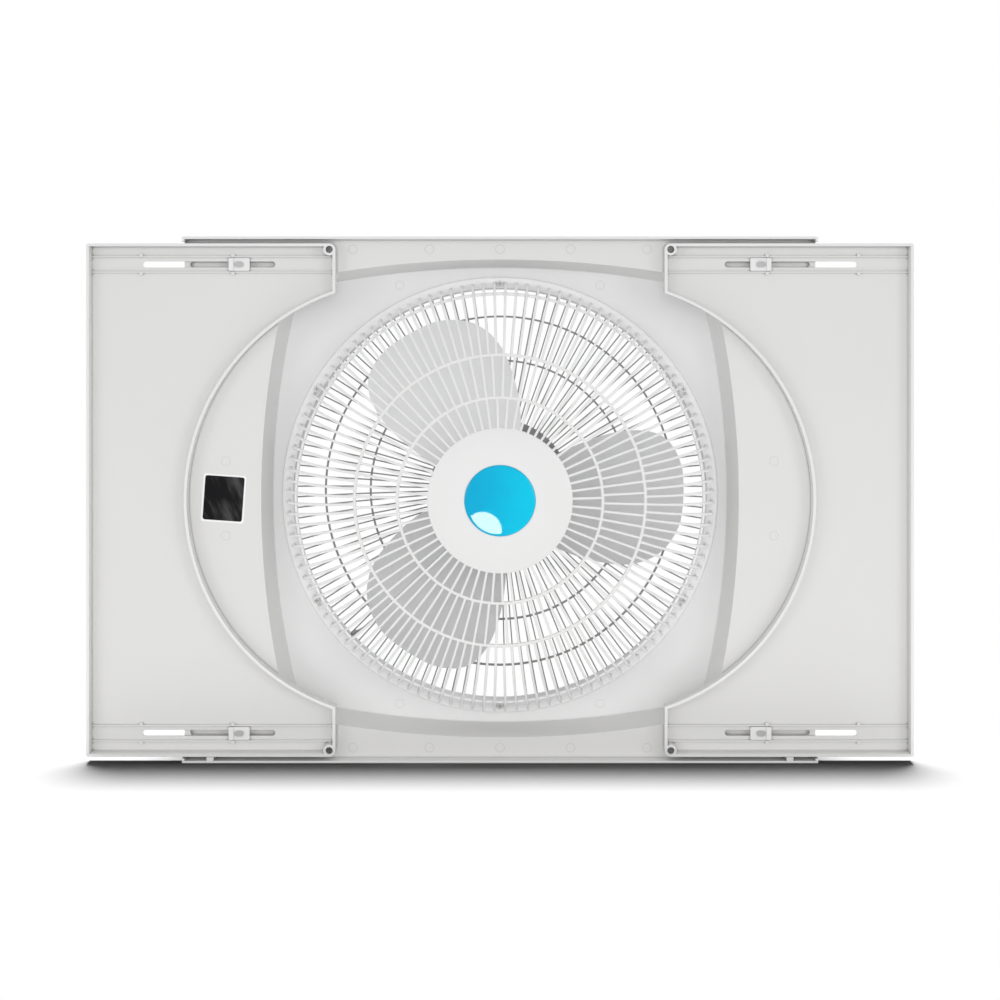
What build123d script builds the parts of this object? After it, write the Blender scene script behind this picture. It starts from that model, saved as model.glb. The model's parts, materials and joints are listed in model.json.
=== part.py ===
from build123d import *
import math
import os

# A window fan of the sixteen inch class with slide-out side panels.
# X runs across the window, Y from outdoors to the room, Z up. The origin is on the sill face,
# under the fan axis. All sizes are in millimetres.

# Housing
HOUSING_WIDTH = 635.0
HOUSING_HEIGHT = 526.0
WALL = 2.5
REAR_EDGE_Y = -46.0
FLANGE_DEPTH = 18.0
FRONT_FACE_Y = 48.0
HOUSING_CORNER_RADIUS = 4.0
FRONT_EDGE_RADIUS = 9.0
FLANGE_RETURN = 5.0
TONGUE_DEPTH = 4.0
TONGUE_THICKNESS = 1.6
TONGUE_CLEARANCE = 0.2
HOUSING_SCREW_INSET = 16.0
SHELL_JOINT_DEPTH = 8.0
SCREW_SEAT_DEPTH = 3.0
POST_HOLE_DEPTH = 14.0
GLIDE_INSET = 28.0
GLIDE_WIDTH = 7.0
FLANGE_EDGE_RADIUS = 0.8
PIN_MARK_RADIUS = 4.5
PIN_MARK_DEPTH = 0.25
PIN_MARK_EDGE_INSET = 12.0
PIN_MARK_STEPS = (-148.0, -71.0, 0.0, 71.0, 148.0)

# Recess that the rear grille stands in
RECESS_DEPTH = 43.0
RECESS_DRAFT_RUN = 7.0
FLOOR_MARGIN = 10.2
RECESS_SIDE_BOW = 27.0
RECESS_TOP_BOW = 22.0
RECESS_CORNER_RADIUS = 32.0
ORIFICE_LIP_DEPTH = 13.0

# Fan and its air gap
BLADE_RADIUS = 190.0
BLADE_COUNT = 3
TIP_CLEARANCE = 21.0
BLADE_MID_Y = 29.0
BLADE_THICKNESS = 2.6
BLADE_ROOT_PITCH = 25.0
BLADE_TIP_PITCH = 14.0
BLADE_HUB_RADIUS = 34.0
BLADE_HUB_HALF_DEPTH = 19.0
BLADE_BOSS_RADIUS = 13.0
BLADE_HUB_EDGE = 3.0
# Share of the radius, half angle of the blade there, and how far its middle lags, in degrees
BLADE_STATIONS = (
    (0.16, 50.0, 7.0),
    (0.46, 39.0, 5.2),
    (0.67, 32.5, 3.0),
    (0.82, 27.3, 2.0),
    (0.935, 20.5, 0.8),
    (1.0, 8.5, 0.5),
)
BLADE_SECTIONS = (0.12, 0.4, 0.7, 1.05)

# Grilles
HUB_Y = -53.0
REAR_HUB_RADIUS = 72.5
REAR_RING_SHARES = (0.486, 0.687)
REAR_RIB_COUNTS = (60, 80, 120)
REAR_RIB_STARTS = (1.5, 3.0, 1.5)
REAR_RIB_WIDTH = 2.0
RIB_DEPTH = 4.0
RING_WIDTH = 3.0
CAGE_RISE = 3.0
CAGE_CROWN_INSET = 37.0
CAGE_SHOULDER_INSET = 9.0
CAGE_SHOULDER_Y = -29.0
CAGE_ELBOW_INSET = 1.5
CAGE_ELBOW_Y = -15.0
CAGE_FOOT_OUTSET = 7.0
CAGE_RING_INSET = 5.0
BASE_RING_WIDTH = 12.4
BASE_RING_THICKNESS = 2.5
HUB_THICKNESS = 3.5
FRONT_HUB_RADIUS = 74.0
FRONT_RING_SHARES = (0.632, 0.847)
FRONT_RIB_COUNT = 120
FRONT_RIB_START = 1.5
FRONT_RIB_WIDTH = 1.5
FRONT_OPENING_OUTSET = 5.0
FRONT_DOME_RISE = 26.5
FRONT_RING_RISES = (23.0, 11.5)
FRONT_HUB_CROWN = 1.5
HUB_BEVEL = 2.0
GRILLE_SCREW_COUNT = 6
GRILLE_SCREW_START = 30.0
GRILLE_SCREW_GRIP = 4.0
FRONT_SCREW_COUNT = 4
FRONT_POST_DEPTH = 6.0

# Badge and label, both blank
BADGE_RADIUS = 35.3
BADGE_POCKET_DEPTH = 1.2
BADGE_RISE = 3.4
LABEL_WIDTH = 43.5
LABEL_HEIGHT = 48.5
LABEL_THICKNESS = 0.2
LABEL_TURN = -4.0
LABEL_SIDE_INSET = 39.2
LABEL_CORNER_RADIUS = 2.5
BADGE_EDGE = 0.6

# Side panels, drawn at the detent that the photograph shows
PANEL_WIDTH = 248.5
PANEL_EXTENSION = 95.5
PANEL_RETRACT = 92.0
PANEL_EDGE_GAP = 4.3
PANEL_THICKNESS = 2.5
PANEL_RUNNING_GAP = 0.5
PANEL_RIM = 2.8
PANEL_CORNER_RADIUS = 6.0
CUTOUT_CLEARANCE = 7.0
CUTOUT_CENTRE_LEAD = 3.0
SLOT_WIDTH = 6.0
SLOT_LENGTH = 133.0
SLOT_SIDE_INSET = 54.0
SLOT_EDGE_INSET = 27.5
PLATE_SLOT_INSET = 5.5
PLATE_SLOT_BRIDGE = 7.0
PLATE_SLOT_DEPTH = 6.0
RAIL_OFFSET = 7.75
RAIL_WIDTH = 1.5
RAIL_HEIGHT = 1.8
NUB_RADIUS = 2.0
NUB_HEIGHT = 2.6
NUB_LEAD = 6.4
LOCK_BOSS_HEIGHT = 7.0

# Clips that hold the panels
CLIP_SIDE_INSET = 55.5
CLIP_WIDTH = 21.0
CLIP_HEIGHT = 13.0
CLIP_THICKNESS = 2.0
CLIP_LIP_WIDTH = 5.0
CLIP_LIP_RISE = 0.8
CLIP_CORNER_RADIUS = 1.2
CLIP_LIFT = 0.4
STUD_CLEARANCE = 0.3
RIVET_LENGTH = 9.0
RIVET_WIDTH = 5.5
RIVET_HEIGHT = 1.4

# Motor
MOTOR_RADIUS = 46.0
MOTOR_SEAT_DEPTH = 7.0
BELL_WALL = 2.0
REAR_BELL_DEPTH = 16.0
STACK_DEPTH = 18.0
FRONT_BELL_DEPTH = 14.0
ROTOR_RADIUS = 26.0
AIR_GAP = 0.5
SHAFT_RADIUS = 4.0
BEARING_RADIUS = 8.0
BEARING_LENGTH = 9.0
RUNNING_FIT = 0.04
SEAT_FIT = 0.05
DRIVE_PIN_RADIUS = 1.5
DRIVE_PIN_LENGTH = 22.0
BEARING_END_PLAY = 0.4
BEARING_BOSS_WALL = 3.0
BELL_EDGE = 3.0
MOTOR_BOLT_COUNT = 3
MOTOR_BOLT_START = 90.0
MOTOR_BOLT_INSET = 5.0
MOTOR_SCREW_COUNT = 4
MOTOR_SCREW_RADIUS = 24.0
MOTOR_SCREW_GRIP = 5.0
COIL_BEVEL = 3.0
COIL_REACHES = (-8.0, 7.0)
ROTOR_RING_REACH = 2.5
ROTOR_RING_WIDTH = 7.0
SHAFT_NUT_LENGTH = 8.0
NUT_RADIUS = 15.0
NUT_CAP = 2.0

# Controls, on the room side
CONTROL_ANGLE = 223.5
CONTROL_REACH = 322.0
SWITCH_SIDE = 30.0
SWITCH_DEPTH = 22.0
SWITCH_SHAFT_RADIUS = 3.0
SWITCH_BUSH_RADIUS = 5.0
KNOB_RADIUS = 20.0
KNOB_HEIGHT = 17.0
DIAL_RADIUS = 30.0
DIAL_THICKNESS = 1.0
LEAD_WIDTH = 2.0
LEAD_DEPTH = 5.0
LEAD_BEND_RADIUS = 7.0
LEAD_CLEARANCE = 0.5
SWITCH_NUT_THICKNESS = 3.0
SWITCH_NUT_RADIUS = 8.0
SWITCH_TAB_LENGTH = 4.0
SWITCH_TAB_STEP = 8.0
SWITCH_SOCKET_DEPTH = 4.0
SPEED_STEP = 60.0
SPEED_COUNT = 4
DIAL_DOT_INSET = 4.5
KNOB_WALL = 2.0
KNOB_CAP = 6.0
KNOB_GRIP_WIDTH = 9.0
CAPACITOR_SIZE = (20.0, 26.0, 40.0)
CAPACITOR_SIDE_INSET = 45.0
CAPACITOR_TAB = 12.0
CAPACITOR_TAB_THICKNESS = 1.2
CAPACITOR_POST = 8.0
GLAND_BORE_RADIUS = 4.0
GLAND_RADIUS = 7.0
GLAND_LENGTH = 14.0
GLAND_HEAD = 3.0
GLAND_FLANGE = 4.0
GLAND_NUT_THICKNESS = 4.0
GLAND_Y = 16.0
GLAND_RISE = 18.0

# Fasteners
SCREW_HEAD_RADIUS = 3.4
SCREW_HEAD_HEIGHT = 2.0
SCREW_SHANK_RADIUS = 1.7
SCREW_BOSS_RADIUS = 4.5
CROSS_SHARES = (0.6, 0.14)
HOLE_CLEARANCE = 0.2

# Places worked out from the sizes above
HALF_WIDTH = HOUSING_WIDTH / 2
FAN_Z = HOUSING_HEIGHT / 2
PLATE_Y = REAR_EDGE_Y + FLANGE_DEPTH
PARTING_Y = PLATE_Y + WALL
FLOOR_Y = PLATE_Y + RECESS_DEPTH
ORIFICE_RADIUS = BLADE_RADIUS + TIP_CLEARANCE
BASE_RING_RADIUS = ORIFICE_RADIUS + BASE_RING_WIDTH
FLOOR_HALF = BASE_RING_RADIUS + FLOOR_MARGIN
FRONT_OPENING_RADIUS = ORIFICE_RADIUS + FRONT_OPENING_OUTSET
BASE_RING_Y = FLOOR_Y - BASE_RING_THICKNESS
GRILLE_SCREW_RADIUS = ORIFICE_RADIUS + BASE_RING_WIDTH / 2
PANEL_FRONT_Y = PLATE_Y - PANEL_RUNNING_GAP
PANEL_REAR_Y = PANEL_FRONT_Y - PANEL_THICKNESS
PANEL_OUTER_X = HALF_WIDTH + PANEL_EXTENSION
PANEL_INNER_X = PANEL_OUTER_X - PANEL_WIDTH
PANEL_LOW_Z = WALL + PANEL_EDGE_GAP
PANEL_HIGH_Z = HOUSING_HEIGHT - WALL - PANEL_EDGE_GAP
CUTOUT_RADIUS = ORIFICE_RADIUS + CUTOUT_CLEARANCE
CUTOUT_CENTRE_X = PANEL_RETRACT + CUTOUT_CENTRE_LEAD
CLIP_X = HALF_WIDTH - CLIP_SIDE_INSET
SLOT_REACH = FAN_Z - SLOT_EDGE_INSET
CLIP_REAR_Y = PANEL_REAR_Y - CLIP_LIFT - CLIP_THICKNESS
MOTOR_SEAT_Y = HUB_Y + MOTOR_SEAT_DEPTH
STACK_Y = MOTOR_SEAT_Y + REAR_BELL_DEPTH
STACK_END_Y = STACK_Y + STACK_DEPTH
MOTOR_END_Y = STACK_END_Y + FRONT_BELL_DEPTH
BLADE_HUB_REAR_Y = BLADE_MID_Y - BLADE_HUB_HALF_DEPTH
BLADE_HUB_FRONT_Y = BLADE_MID_Y + BLADE_HUB_HALF_DEPTH
BEARING_BORE = SHAFT_RADIUS + RUNNING_FIT
CONTROL_X = CONTROL_REACH * math.cos(math.radians(CONTROL_ANGLE))
CONTROL_Z = FAN_Z + CONTROL_REACH * math.sin(math.radians(CONTROL_ANGLE))
FRONT_INNER_Y = FRONT_FACE_Y - WALL
SWITCH_REAR_Y = FRONT_INNER_Y - SWITCH_DEPTH
SHELL_JOINT_Y = PARTING_Y + SHELL_JOINT_DEPTH
SCREW_SEAT_Y = PLATE_Y + SCREW_SEAT_DEPTH
REAR_RING_RADII = [share * ORIFICE_RADIUS for share in REAR_RING_SHARES]
FRONT_RING_RADII = [share * FRONT_OPENING_RADIUS for share in FRONT_RING_SHARES]
FRONT_SCREW_RADIUS = FRONT_OPENING_RADIUS + BASE_RING_WIDTH / 2
FRONT_RING_Y = FRONT_FACE_Y + BASE_RING_THICKNESS
CAGE_FLAT_Y = HUB_Y + CAGE_RISE
CAGE_CROWN_RADIUS = ORIFICE_RADIUS - CAGE_CROWN_INSET
CAGE_SHOULDER_RADIUS = ORIFICE_RADIUS - CAGE_SHOULDER_INSET
CAGE_FOOT_RADIUS = ORIFICE_RADIUS + CAGE_FOOT_OUTSET
CAGE_ELBOW_RADIUS = CAGE_FOOT_RADIUS - CAGE_ELBOW_INSET
CAGE_RING_RADIUS = ORIFICE_RADIUS - CAGE_RING_INSET
BADGE_SEAT_Y = HUB_Y + BADGE_POCKET_DEPTH
MOTOR_SCREW_SEAT_Y = BADGE_SEAT_Y + SCREW_HEAD_HEIGHT + BADGE_EDGE
MOTOR_SCREW_TIP_Y = MOTOR_SEAT_Y + MOTOR_SCREW_GRIP
LOCK_SEAT_Y = PANEL_REAR_Y - LOCK_BOSS_HEIGHT
MOTOR_BOLT_RADIUS = MOTOR_RADIUS - MOTOR_BOLT_INSET
MOTOR_BOLT_HOLE = SCREW_SHANK_RADIUS + SEAT_FIT
BEARING_BOSS_RADIUS = BEARING_RADIUS + BEARING_BOSS_WALL
REAR_BEARING_Y = MOTOR_SEAT_Y + BELL_WALL / 2
FRONT_BEARING_Y = MOTOR_END_Y - BEARING_LENGTH + BELL_WALL
COIL_INNER = ROTOR_RADIUS + 5 * AIR_GAP
COIL_OUTER = MOTOR_BOLT_RADIUS - SCREW_BOSS_RADIUS - AIR_GAP
SHAFT_REAR_Y = REAR_BEARING_Y + BEARING_END_PLAY
SHAFT_FRONT_Y = BLADE_HUB_FRONT_Y + SHAFT_NUT_LENGTH
PIN_Y = BLADE_HUB_REAR_Y + 2 * DRIVE_PIN_RADIUS
LEAD_START_Y = MOTOR_SEAT_Y + REAR_BELL_DEPTH / 2
LEAD_NOTCH_WIDTH = LEAD_WIDTH + 2 * LEAD_CLEARANCE
DIAL_Y = FRONT_FACE_Y + DIAL_THICKNESS
KNOB_Y = DIAL_Y + SWITCH_NUT_THICKNESS + DIAL_THICKNESS
KNOB_TOP_Y = KNOB_Y + KNOB_HEIGHT
KNOB_CAP_Y = KNOB_TOP_Y - KNOB_CAP
SWITCH_BUSH_Y = KNOB_Y - BADGE_EDGE
SWITCH_SHAFT_Y = KNOB_CAP_Y - DIAL_RADIUS / 10
CAPACITOR_X = -(HALF_WIDTH - CAPACITOR_SIDE_INSET)
CAPACITOR_LOW_Z = CONTROL_Z + SWITCH_SIDE
CAPACITOR_HIGH_Z = CAPACITOR_LOW_Z + CAPACITOR_SIZE[2]
CAPACITOR_SCREW_Z = CAPACITOR_HIGH_Z + CAPACITOR_TAB / 2
CAPACITOR_TAB_Y = FRONT_INNER_Y - CAPACITOR_POST
GLAND_Z = CONTROL_Z + GLAND_RISE
SIDES = (-1, 1)


def facing(y):
    """The plane across the window at depth y, drawn in X and Z."""
    return Plane(origin=(0, y, 0), x_dir=(1, 0, 0), z_dir=(0, -1, 0))


def slab(sketch, y_rear, y_front):
    """A sketch in X and Z carried from one depth to another."""
    return extrude(facing(y_rear) * sketch, amount=y_front - y_rear, dir=(0, 1, 0))


def rod(x, z, radius, y_rear, y_front):
    """A round bar along Y."""
    middle = (y_rear + y_front) / 2
    return Pos(x, middle, z) * Rot(90, 0, 0) * Cylinder(radius, y_front - y_rear)


def block(low, high):
    """A box between two corners."""
    centre = [(a + b) / 2 for a, b in zip(low, high)]
    return Pos(*centre) * Box(*[b - a for a, b in zip(low, high)])


def turned(points, x=0.0, z=FAN_Z):
    """A closed outline of radius and depth turned about a line along Y."""
    radial = Plane(origin=(x, 0, z), x_dir=(1, 0, 0), z_dir=(0, 0, 1))
    outline = make_face(radial * Polyline(*points, close=True))
    return revolve(outline, axis=Axis((x, 0, z), (0, 1, 0)))


def ring(inner, outer, y_rear, y_front, x=0.0, z=FAN_Z):
    """A flat ring or bush about a line along Y."""
    return turned([(inner, y_rear), (outer, y_rear), (outer, y_front), (inner, y_front)], x, z)


def polar(radius, degrees):
    """X and Z of a point round the fan axis."""
    angle = math.radians(degrees)
    return radius * math.cos(angle), FAN_Z + radius * math.sin(angle)


def spaced(count, start=0.0):
    """Evenly spaced angles in degrees."""
    return [start + 360.0 * index / count for index in range(count)]


def screw(x, z, seat_y, tip_y):
    """A pan head screw driven along Y, with a cross recess, its head on seat_y."""
    away = -1 if tip_y > seat_y else 1
    top_y = seat_y + away * SCREW_HEAD_HEIGHT
    body = rod(x, z, SCREW_HEAD_RADIUS, min(seat_y, top_y), max(seat_y, top_y))
    body += rod(x, z, SCREW_SHANK_RADIUS, min(seat_y, tip_y), max(seat_y, tip_y))
    for wide, tall in (CROSS_SHARES, CROSS_SHARES[::-1]):
        cross = Box(2 * wide * SCREW_HEAD_RADIUS, SCREW_HEAD_HEIGHT, 2 * tall * SCREW_HEAD_RADIUS)
        body -= Pos(x, top_y, z) * cross
    return body


def save(node, *solids):
    """Write the separate solids of one node."""
    shape = solids[0] if len(solids) == 1 else Compound(children=list(solids))
    export_step(shape, f"parts/{node}.step")


def pillow(half, grow):
    """The recess outline: four bowed sides with rounded corners, half as wide as given."""
    wide = half + grow
    corner_x = wide - RECESS_SIDE_BOW
    corner_z = wide - RECESS_TOP_BOW
    top = ThreePointArc((-corner_x, corner_z), (0, wide), (corner_x, corner_z))
    right = ThreePointArc((corner_x, corner_z), (wide, 0), (corner_x, -corner_z))
    bottom = ThreePointArc((corner_x, -corner_z), (0, -wide), (-corner_x, -corner_z))
    left = ThreePointArc((-corner_x, -corner_z), (-wide, 0), (-corner_x, corner_z))
    face = make_face([top, right, bottom, left])
    return Pos(0, FAN_Z) * fillet(face.vertices(), RECESS_CORNER_RADIUS + grow)


def recess_solid(grow, y_rear, y_front):
    """The tapered space of the recess, swollen by grow to make its outer skin."""
    mouth = facing(y_rear) * pillow(FLOOR_HALF + RECESS_DRAFT_RUN, grow)
    floor = facing(y_front) * pillow(FLOOR_HALF, grow)
    return loft([mouth, floor], ruled=True)


def housing_outline(inset):
    """The housing's rounded rectangle, drawn in by inset."""
    radius = max(HOUSING_CORNER_RADIUS - inset, 1.0)
    outline = RectangleRounded(HOUSING_WIDTH - 2 * inset, HOUSING_HEIGHT - 2 * inset, radius)
    return Pos(0, FAN_Z) * outline


def housing_screw_places():
    """Screws that join the two shells, under the side panels."""
    edge = HALF_WIDTH - HOUSING_SCREW_INSET
    reach = FAN_Z - HOUSING_SCREW_INSET
    middle = reach / 2
    return [(side * edge, FAN_Z + rise) for side in SIDES for rise in (-reach, -middle, middle, reach)]


def clip_places():
    """The four clips, as side, X and Z."""
    return [(side, side * CLIP_X, FAN_Z + level * SLOT_REACH) for side in SIDES for level in SIDES]


def plate_slot_spans():
    """The grooves in the frame plate behind a panel slot, on both sides of the stud, along X."""
    inner_end = PANEL_OUTER_X - SLOT_SIDE_INSET - SLOT_LENGTH
    outer_end = HALF_WIDTH - PLATE_SLOT_INSET
    return (inner_end, CLIP_X - PLATE_SLOT_BRIDGE), (CLIP_X + PLATE_SLOT_BRIDGE, outer_end)


def grille_screw_places():
    """The screws of the rear grille's base ring, as X and Z."""
    return [polar(GRILLE_SCREW_RADIUS, angle) for angle in spaced(GRILLE_SCREW_COUNT, GRILLE_SCREW_START)]


def front_screw_places():
    """The screws of the front grille's base ring, as X and Z."""
    half_step = 180.0 / FRONT_SCREW_COUNT
    return [polar(FRONT_SCREW_RADIUS, angle) for angle in spaced(FRONT_SCREW_COUNT, half_step)]


def motor_bolt_places():
    """The long bolts that hold the motor's bells together, as X and Z."""
    return [polar(MOTOR_BOLT_RADIUS, angle) for angle in spaced(MOTOR_BOLT_COUNT, MOTOR_BOLT_START)]


def motor_screw_places():
    """The screws that hold the motor to the grille hub, as X and Z."""
    half_step = 180.0 / MOTOR_SCREW_COUNT
    return [polar(MOTOR_SCREW_RADIUS, angle) for angle in spaced(MOTOR_SCREW_COUNT, half_step)]


def towards_control(shape):
    """A shape drawn along +X from the fan axis, turned to the direction of the speed switch."""
    return Pos(0, 0, FAN_Z) * Rot(0, -CONTROL_ANGLE, 0) * shape


def make_rear_housing():
    """The outdoor shell: frame plate, panel channels, recess and fan orifice."""
    shell = slab(housing_outline(0), PLATE_Y, PARTING_Y)
    for low in (0, HOUSING_HEIGHT - WALL):
        shell += block((-HALF_WIDTH, REAR_EDGE_Y, low), (HALF_WIDTH, PARTING_Y, low + WALL))
    for side in SIDES:
        x_low, x_high = sorted((side * HALF_WIDTH, side * (HALF_WIDTH - WALL)))
        for low in (0, HOUSING_HEIGHT - FLANGE_RETURN):
            shell += block((x_low, REAR_EDGE_Y, low), (x_high, PARTING_Y, low + FLANGE_RETURN))
        glide_x = side * (HALF_WIDTH - GLIDE_INSET)
        glide_top = PANEL_LOW_Z - STUD_CLEARANCE
        half_glide = GLIDE_WIDTH / 2
        shell += block((glide_x - half_glide, REAR_EDGE_Y, 0), (glide_x + half_glide, PARTING_Y, glide_top))
    edges = shell.edges().group_by(Axis.Y)[0].filter_by(Axis.X)
    shell = fillet(edges, FLANGE_EDGE_RADIUS)
    tongue_out = WALL + TONGUE_CLEARANCE
    tongue = housing_outline(tongue_out) - housing_outline(tongue_out + TONGUE_THICKNESS)
    shell += slab(tongue, PARTING_Y, PARTING_Y + TONGUE_DEPTH)
    shell += recess_solid(WALL, PLATE_Y, FLOOR_Y + WALL)
    shell -= recess_solid(0, PLATE_Y, FLOOR_Y)
    shell += ring(ORIFICE_RADIUS, ORIFICE_RADIUS + WALL, FLOOR_Y, FLOOR_Y + WALL + ORIFICE_LIP_DEPTH)
    shell -= rod(0, FAN_Z, ORIFICE_RADIUS, FLOOR_Y, FLOOR_Y + WALL + ORIFICE_LIP_DEPTH)
    notch = Box(4 * WALL, 2 * (ORIFICE_LIP_DEPTH - LEAD_CLEARANCE), LEAD_NOTCH_WIDTH)
    shell -= towards_control(Pos(ORIFICE_RADIUS, FLOOR_Y + WALL + ORIFICE_LIP_DEPTH, 0) * notch)
    for side, x, z in clip_places():
        stud_top = PANEL_REAR_Y - CLIP_LIFT
        shell += rod(x, z, SLOT_WIDTH / 2 - STUD_CLEARANCE, stud_top, PARTING_Y)
        shell -= rod(x, z, SCREW_SHANK_RADIUS, stud_top, PARTING_Y)
        for near, far in plate_slot_spans():
            place = Pos(side * (near + far) / 2, z)
            jacket = SlotOverall(far - near + 2 * WALL, SLOT_WIDTH + 2 * WALL)
            shell += slab(place * jacket, PLATE_Y, PLATE_Y + PLATE_SLOT_DEPTH + WALL)
            shell -= slab(place * SlotOverall(far - near, SLOT_WIDTH), PLATE_Y, PLATE_Y + PLATE_SLOT_DEPTH)
    for x, z in housing_screw_places():
        shell += rod(x, z, SCREW_BOSS_RADIUS, PLATE_Y, SHELL_JOINT_Y)
        shell -= rod(x, z, SCREW_HEAD_RADIUS + HOLE_CLEARANCE, PLATE_Y, SCREW_SEAT_Y)
        shell -= rod(x, z, SCREW_SHANK_RADIUS + HOLE_CLEARANCE, SCREW_SEAT_Y, SHELL_JOINT_Y)
    for x, z in grille_screw_places():
        shell -= rod(x, z, SCREW_SHANK_RADIUS, FLOOR_Y, FLOOR_Y + WALL)
    for x in PIN_MARK_STEPS:
        for z in (PIN_MARK_EDGE_INSET, HOUSING_HEIGHT - PIN_MARK_EDGE_INSET):
            shell -= rod(x, z, PIN_MARK_RADIUS, PLATE_Y, PLATE_Y + PIN_MARK_DEPTH)
    return shell


def make_front_housing():
    """The room side shell: front face, side walls, grille opening and screw posts."""
    shell = slab(housing_outline(0), PARTING_Y, FRONT_FACE_Y)
    shell = fillet(shell.edges().group_by(Axis.Y)[-1], FRONT_EDGE_RADIUS)
    hollow = slab(housing_outline(WALL), PARTING_Y, FRONT_INNER_Y)
    hollow = fillet(hollow.edges().group_by(Axis.Y)[-1], FRONT_EDGE_RADIUS - WALL)
    shell -= hollow
    for x, z in housing_screw_places():
        shell += rod(x, z, SCREW_BOSS_RADIUS, SHELL_JOINT_Y, FRONT_INNER_Y + WALL / 2)
        shell -= rod(x, z, SCREW_SHANK_RADIUS, SHELL_JOINT_Y, SHELL_JOINT_Y + POST_HOLE_DEPTH)
    shell -= rod(0, FAN_Z, FRONT_OPENING_RADIUS, FRONT_INNER_Y, FRONT_FACE_Y)
    for x, z in front_screw_places():
        shell += rod(x, z, SCREW_BOSS_RADIUS, FRONT_INNER_Y - FRONT_POST_DEPTH, FRONT_INNER_Y + WALL / 2)
        shell -= rod(x, z, SCREW_SHANK_RADIUS, FRONT_INNER_Y - FRONT_POST_DEPTH, FRONT_FACE_Y)
    shell -= rod(CONTROL_X, CONTROL_Z, SWITCH_BUSH_RADIUS + HOLE_CLEARANCE, FRONT_INNER_Y, FRONT_FACE_Y)
    post = (CAPACITOR_X, CAPACITOR_SCREW_Z)
    shell += rod(*post, SCREW_BOSS_RADIUS, CAPACITOR_TAB_Y, FRONT_INNER_Y + WALL / 2)
    shell -= rod(*post, SCREW_SHANK_RADIUS, CAPACITOR_TAB_Y, FRONT_INNER_Y)
    inlet_side = 2 * (GLAND_RADIUS + HOLE_CLEARANCE)
    shell -= Pos(-HALF_WIDTH, GLAND_Y, GLAND_Z) * Box(4 * WALL, inlet_side, inlet_side)
    return shell


def windows(inner, outer, count, start, rib_width, y_rear, y_front):
    """The gaps between evenly spaced radial ribs, as prisms along Y."""
    step = math.radians(360.0 / count)
    half = rib_width / 2
    cell = Polyline(
        (inner, half),
        (outer, half),
        (outer * math.cos(step) + half * math.sin(step), outer * math.sin(step) - half * math.cos(step)),
        (inner * math.cos(step) + half * math.sin(step), inner * math.sin(step) - half * math.cos(step)),
        close=True,
    )
    gap = slab(make_face(cell), y_rear, y_front)
    return [Pos(0, 0, FAN_Z) * Rot(0, -angle, 0) * gap for angle in spaced(count, start)]


def make_rear_grille():
    """The domed outdoor grille with its hub disc, which also carries the motor."""
    hub_back = HUB_Y + HUB_THICKNESS
    pocket = BADGE_RADIUS + HOLE_CLEARANCE
    seat = MOTOR_RADIUS - 2 * BELL_WALL
    bevel_radius = REAR_HUB_RADIUS - HUB_BEVEL
    grille = turned([
        (0, BADGE_SEAT_Y),
        (pocket, BADGE_SEAT_Y),
        (pocket, HUB_Y),
        (bevel_radius, HUB_Y),
        (REAR_HUB_RADIUS, HUB_Y + HUB_BEVEL / 4),
        (CAGE_CROWN_RADIUS, CAGE_FLAT_Y),
        (CAGE_SHOULDER_RADIUS, CAGE_SHOULDER_Y),
        (CAGE_ELBOW_RADIUS, CAGE_ELBOW_Y),
        (CAGE_FOOT_RADIUS, BASE_RING_Y),
        (BASE_RING_RADIUS, BASE_RING_Y),
        (BASE_RING_RADIUS, FLOOR_Y),
        (CAGE_FOOT_RADIUS - RIB_DEPTH, FLOOR_Y),
        (CAGE_ELBOW_RADIUS - RIB_DEPTH, CAGE_ELBOW_Y + RIB_DEPTH / 2),
        (CAGE_SHOULDER_RADIUS - RIB_DEPTH, CAGE_SHOULDER_Y + RIB_DEPTH / 2),
        (CAGE_CROWN_RADIUS - RIB_DEPTH / 2, CAGE_FLAT_Y + RIB_DEPTH),
        (bevel_radius, HUB_Y + RIB_DEPTH),
        (bevel_radius, hub_back),
        (seat, hub_back),
        (seat, MOTOR_SEAT_Y),
        (0, MOTOR_SEAT_Y),
    ])
    half_ring = RING_WIDTH / 2
    limits = [REAR_HUB_RADIUS, *REAR_RING_RADII, CAGE_RING_RADIUS]
    cuts = []
    for index, (count, start) in enumerate(zip(REAR_RIB_COUNTS, REAR_RIB_STARTS)):
        inside = limits[index] + (half_ring if index else 0)
        outside = limits[index + 1] - half_ring
        cuts += windows(inside, outside, count, start, REAR_RIB_WIDTH, HUB_Y - HUB_BEVEL, FLOOR_Y)
    rim = CAGE_RING_RADIUS + half_ring
    count = REAR_RIB_COUNTS[-1]
    clear = CAGE_FOOT_RADIUS + HOLE_CLEARANCE
    cuts += windows(rim, clear, count, REAR_RIB_STARTS[-1], REAR_RIB_WIDTH, HUB_Y, BASE_RING_Y)
    for x, z in motor_screw_places():
        cuts.append(rod(x, z, SCREW_HEAD_RADIUS + HOLE_CLEARANCE, BADGE_SEAT_Y, MOTOR_SCREW_SEAT_Y))
        cuts.append(rod(x, z, SCREW_SHANK_RADIUS + HOLE_CLEARANCE, MOTOR_SCREW_SEAT_Y, MOTOR_SEAT_Y))
    for x, z in grille_screw_places():
        cuts.append(rod(x, z, SCREW_SHANK_RADIUS + HOLE_CLEARANCE, BASE_RING_Y, FLOOR_Y))
    return grille - cuts


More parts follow.
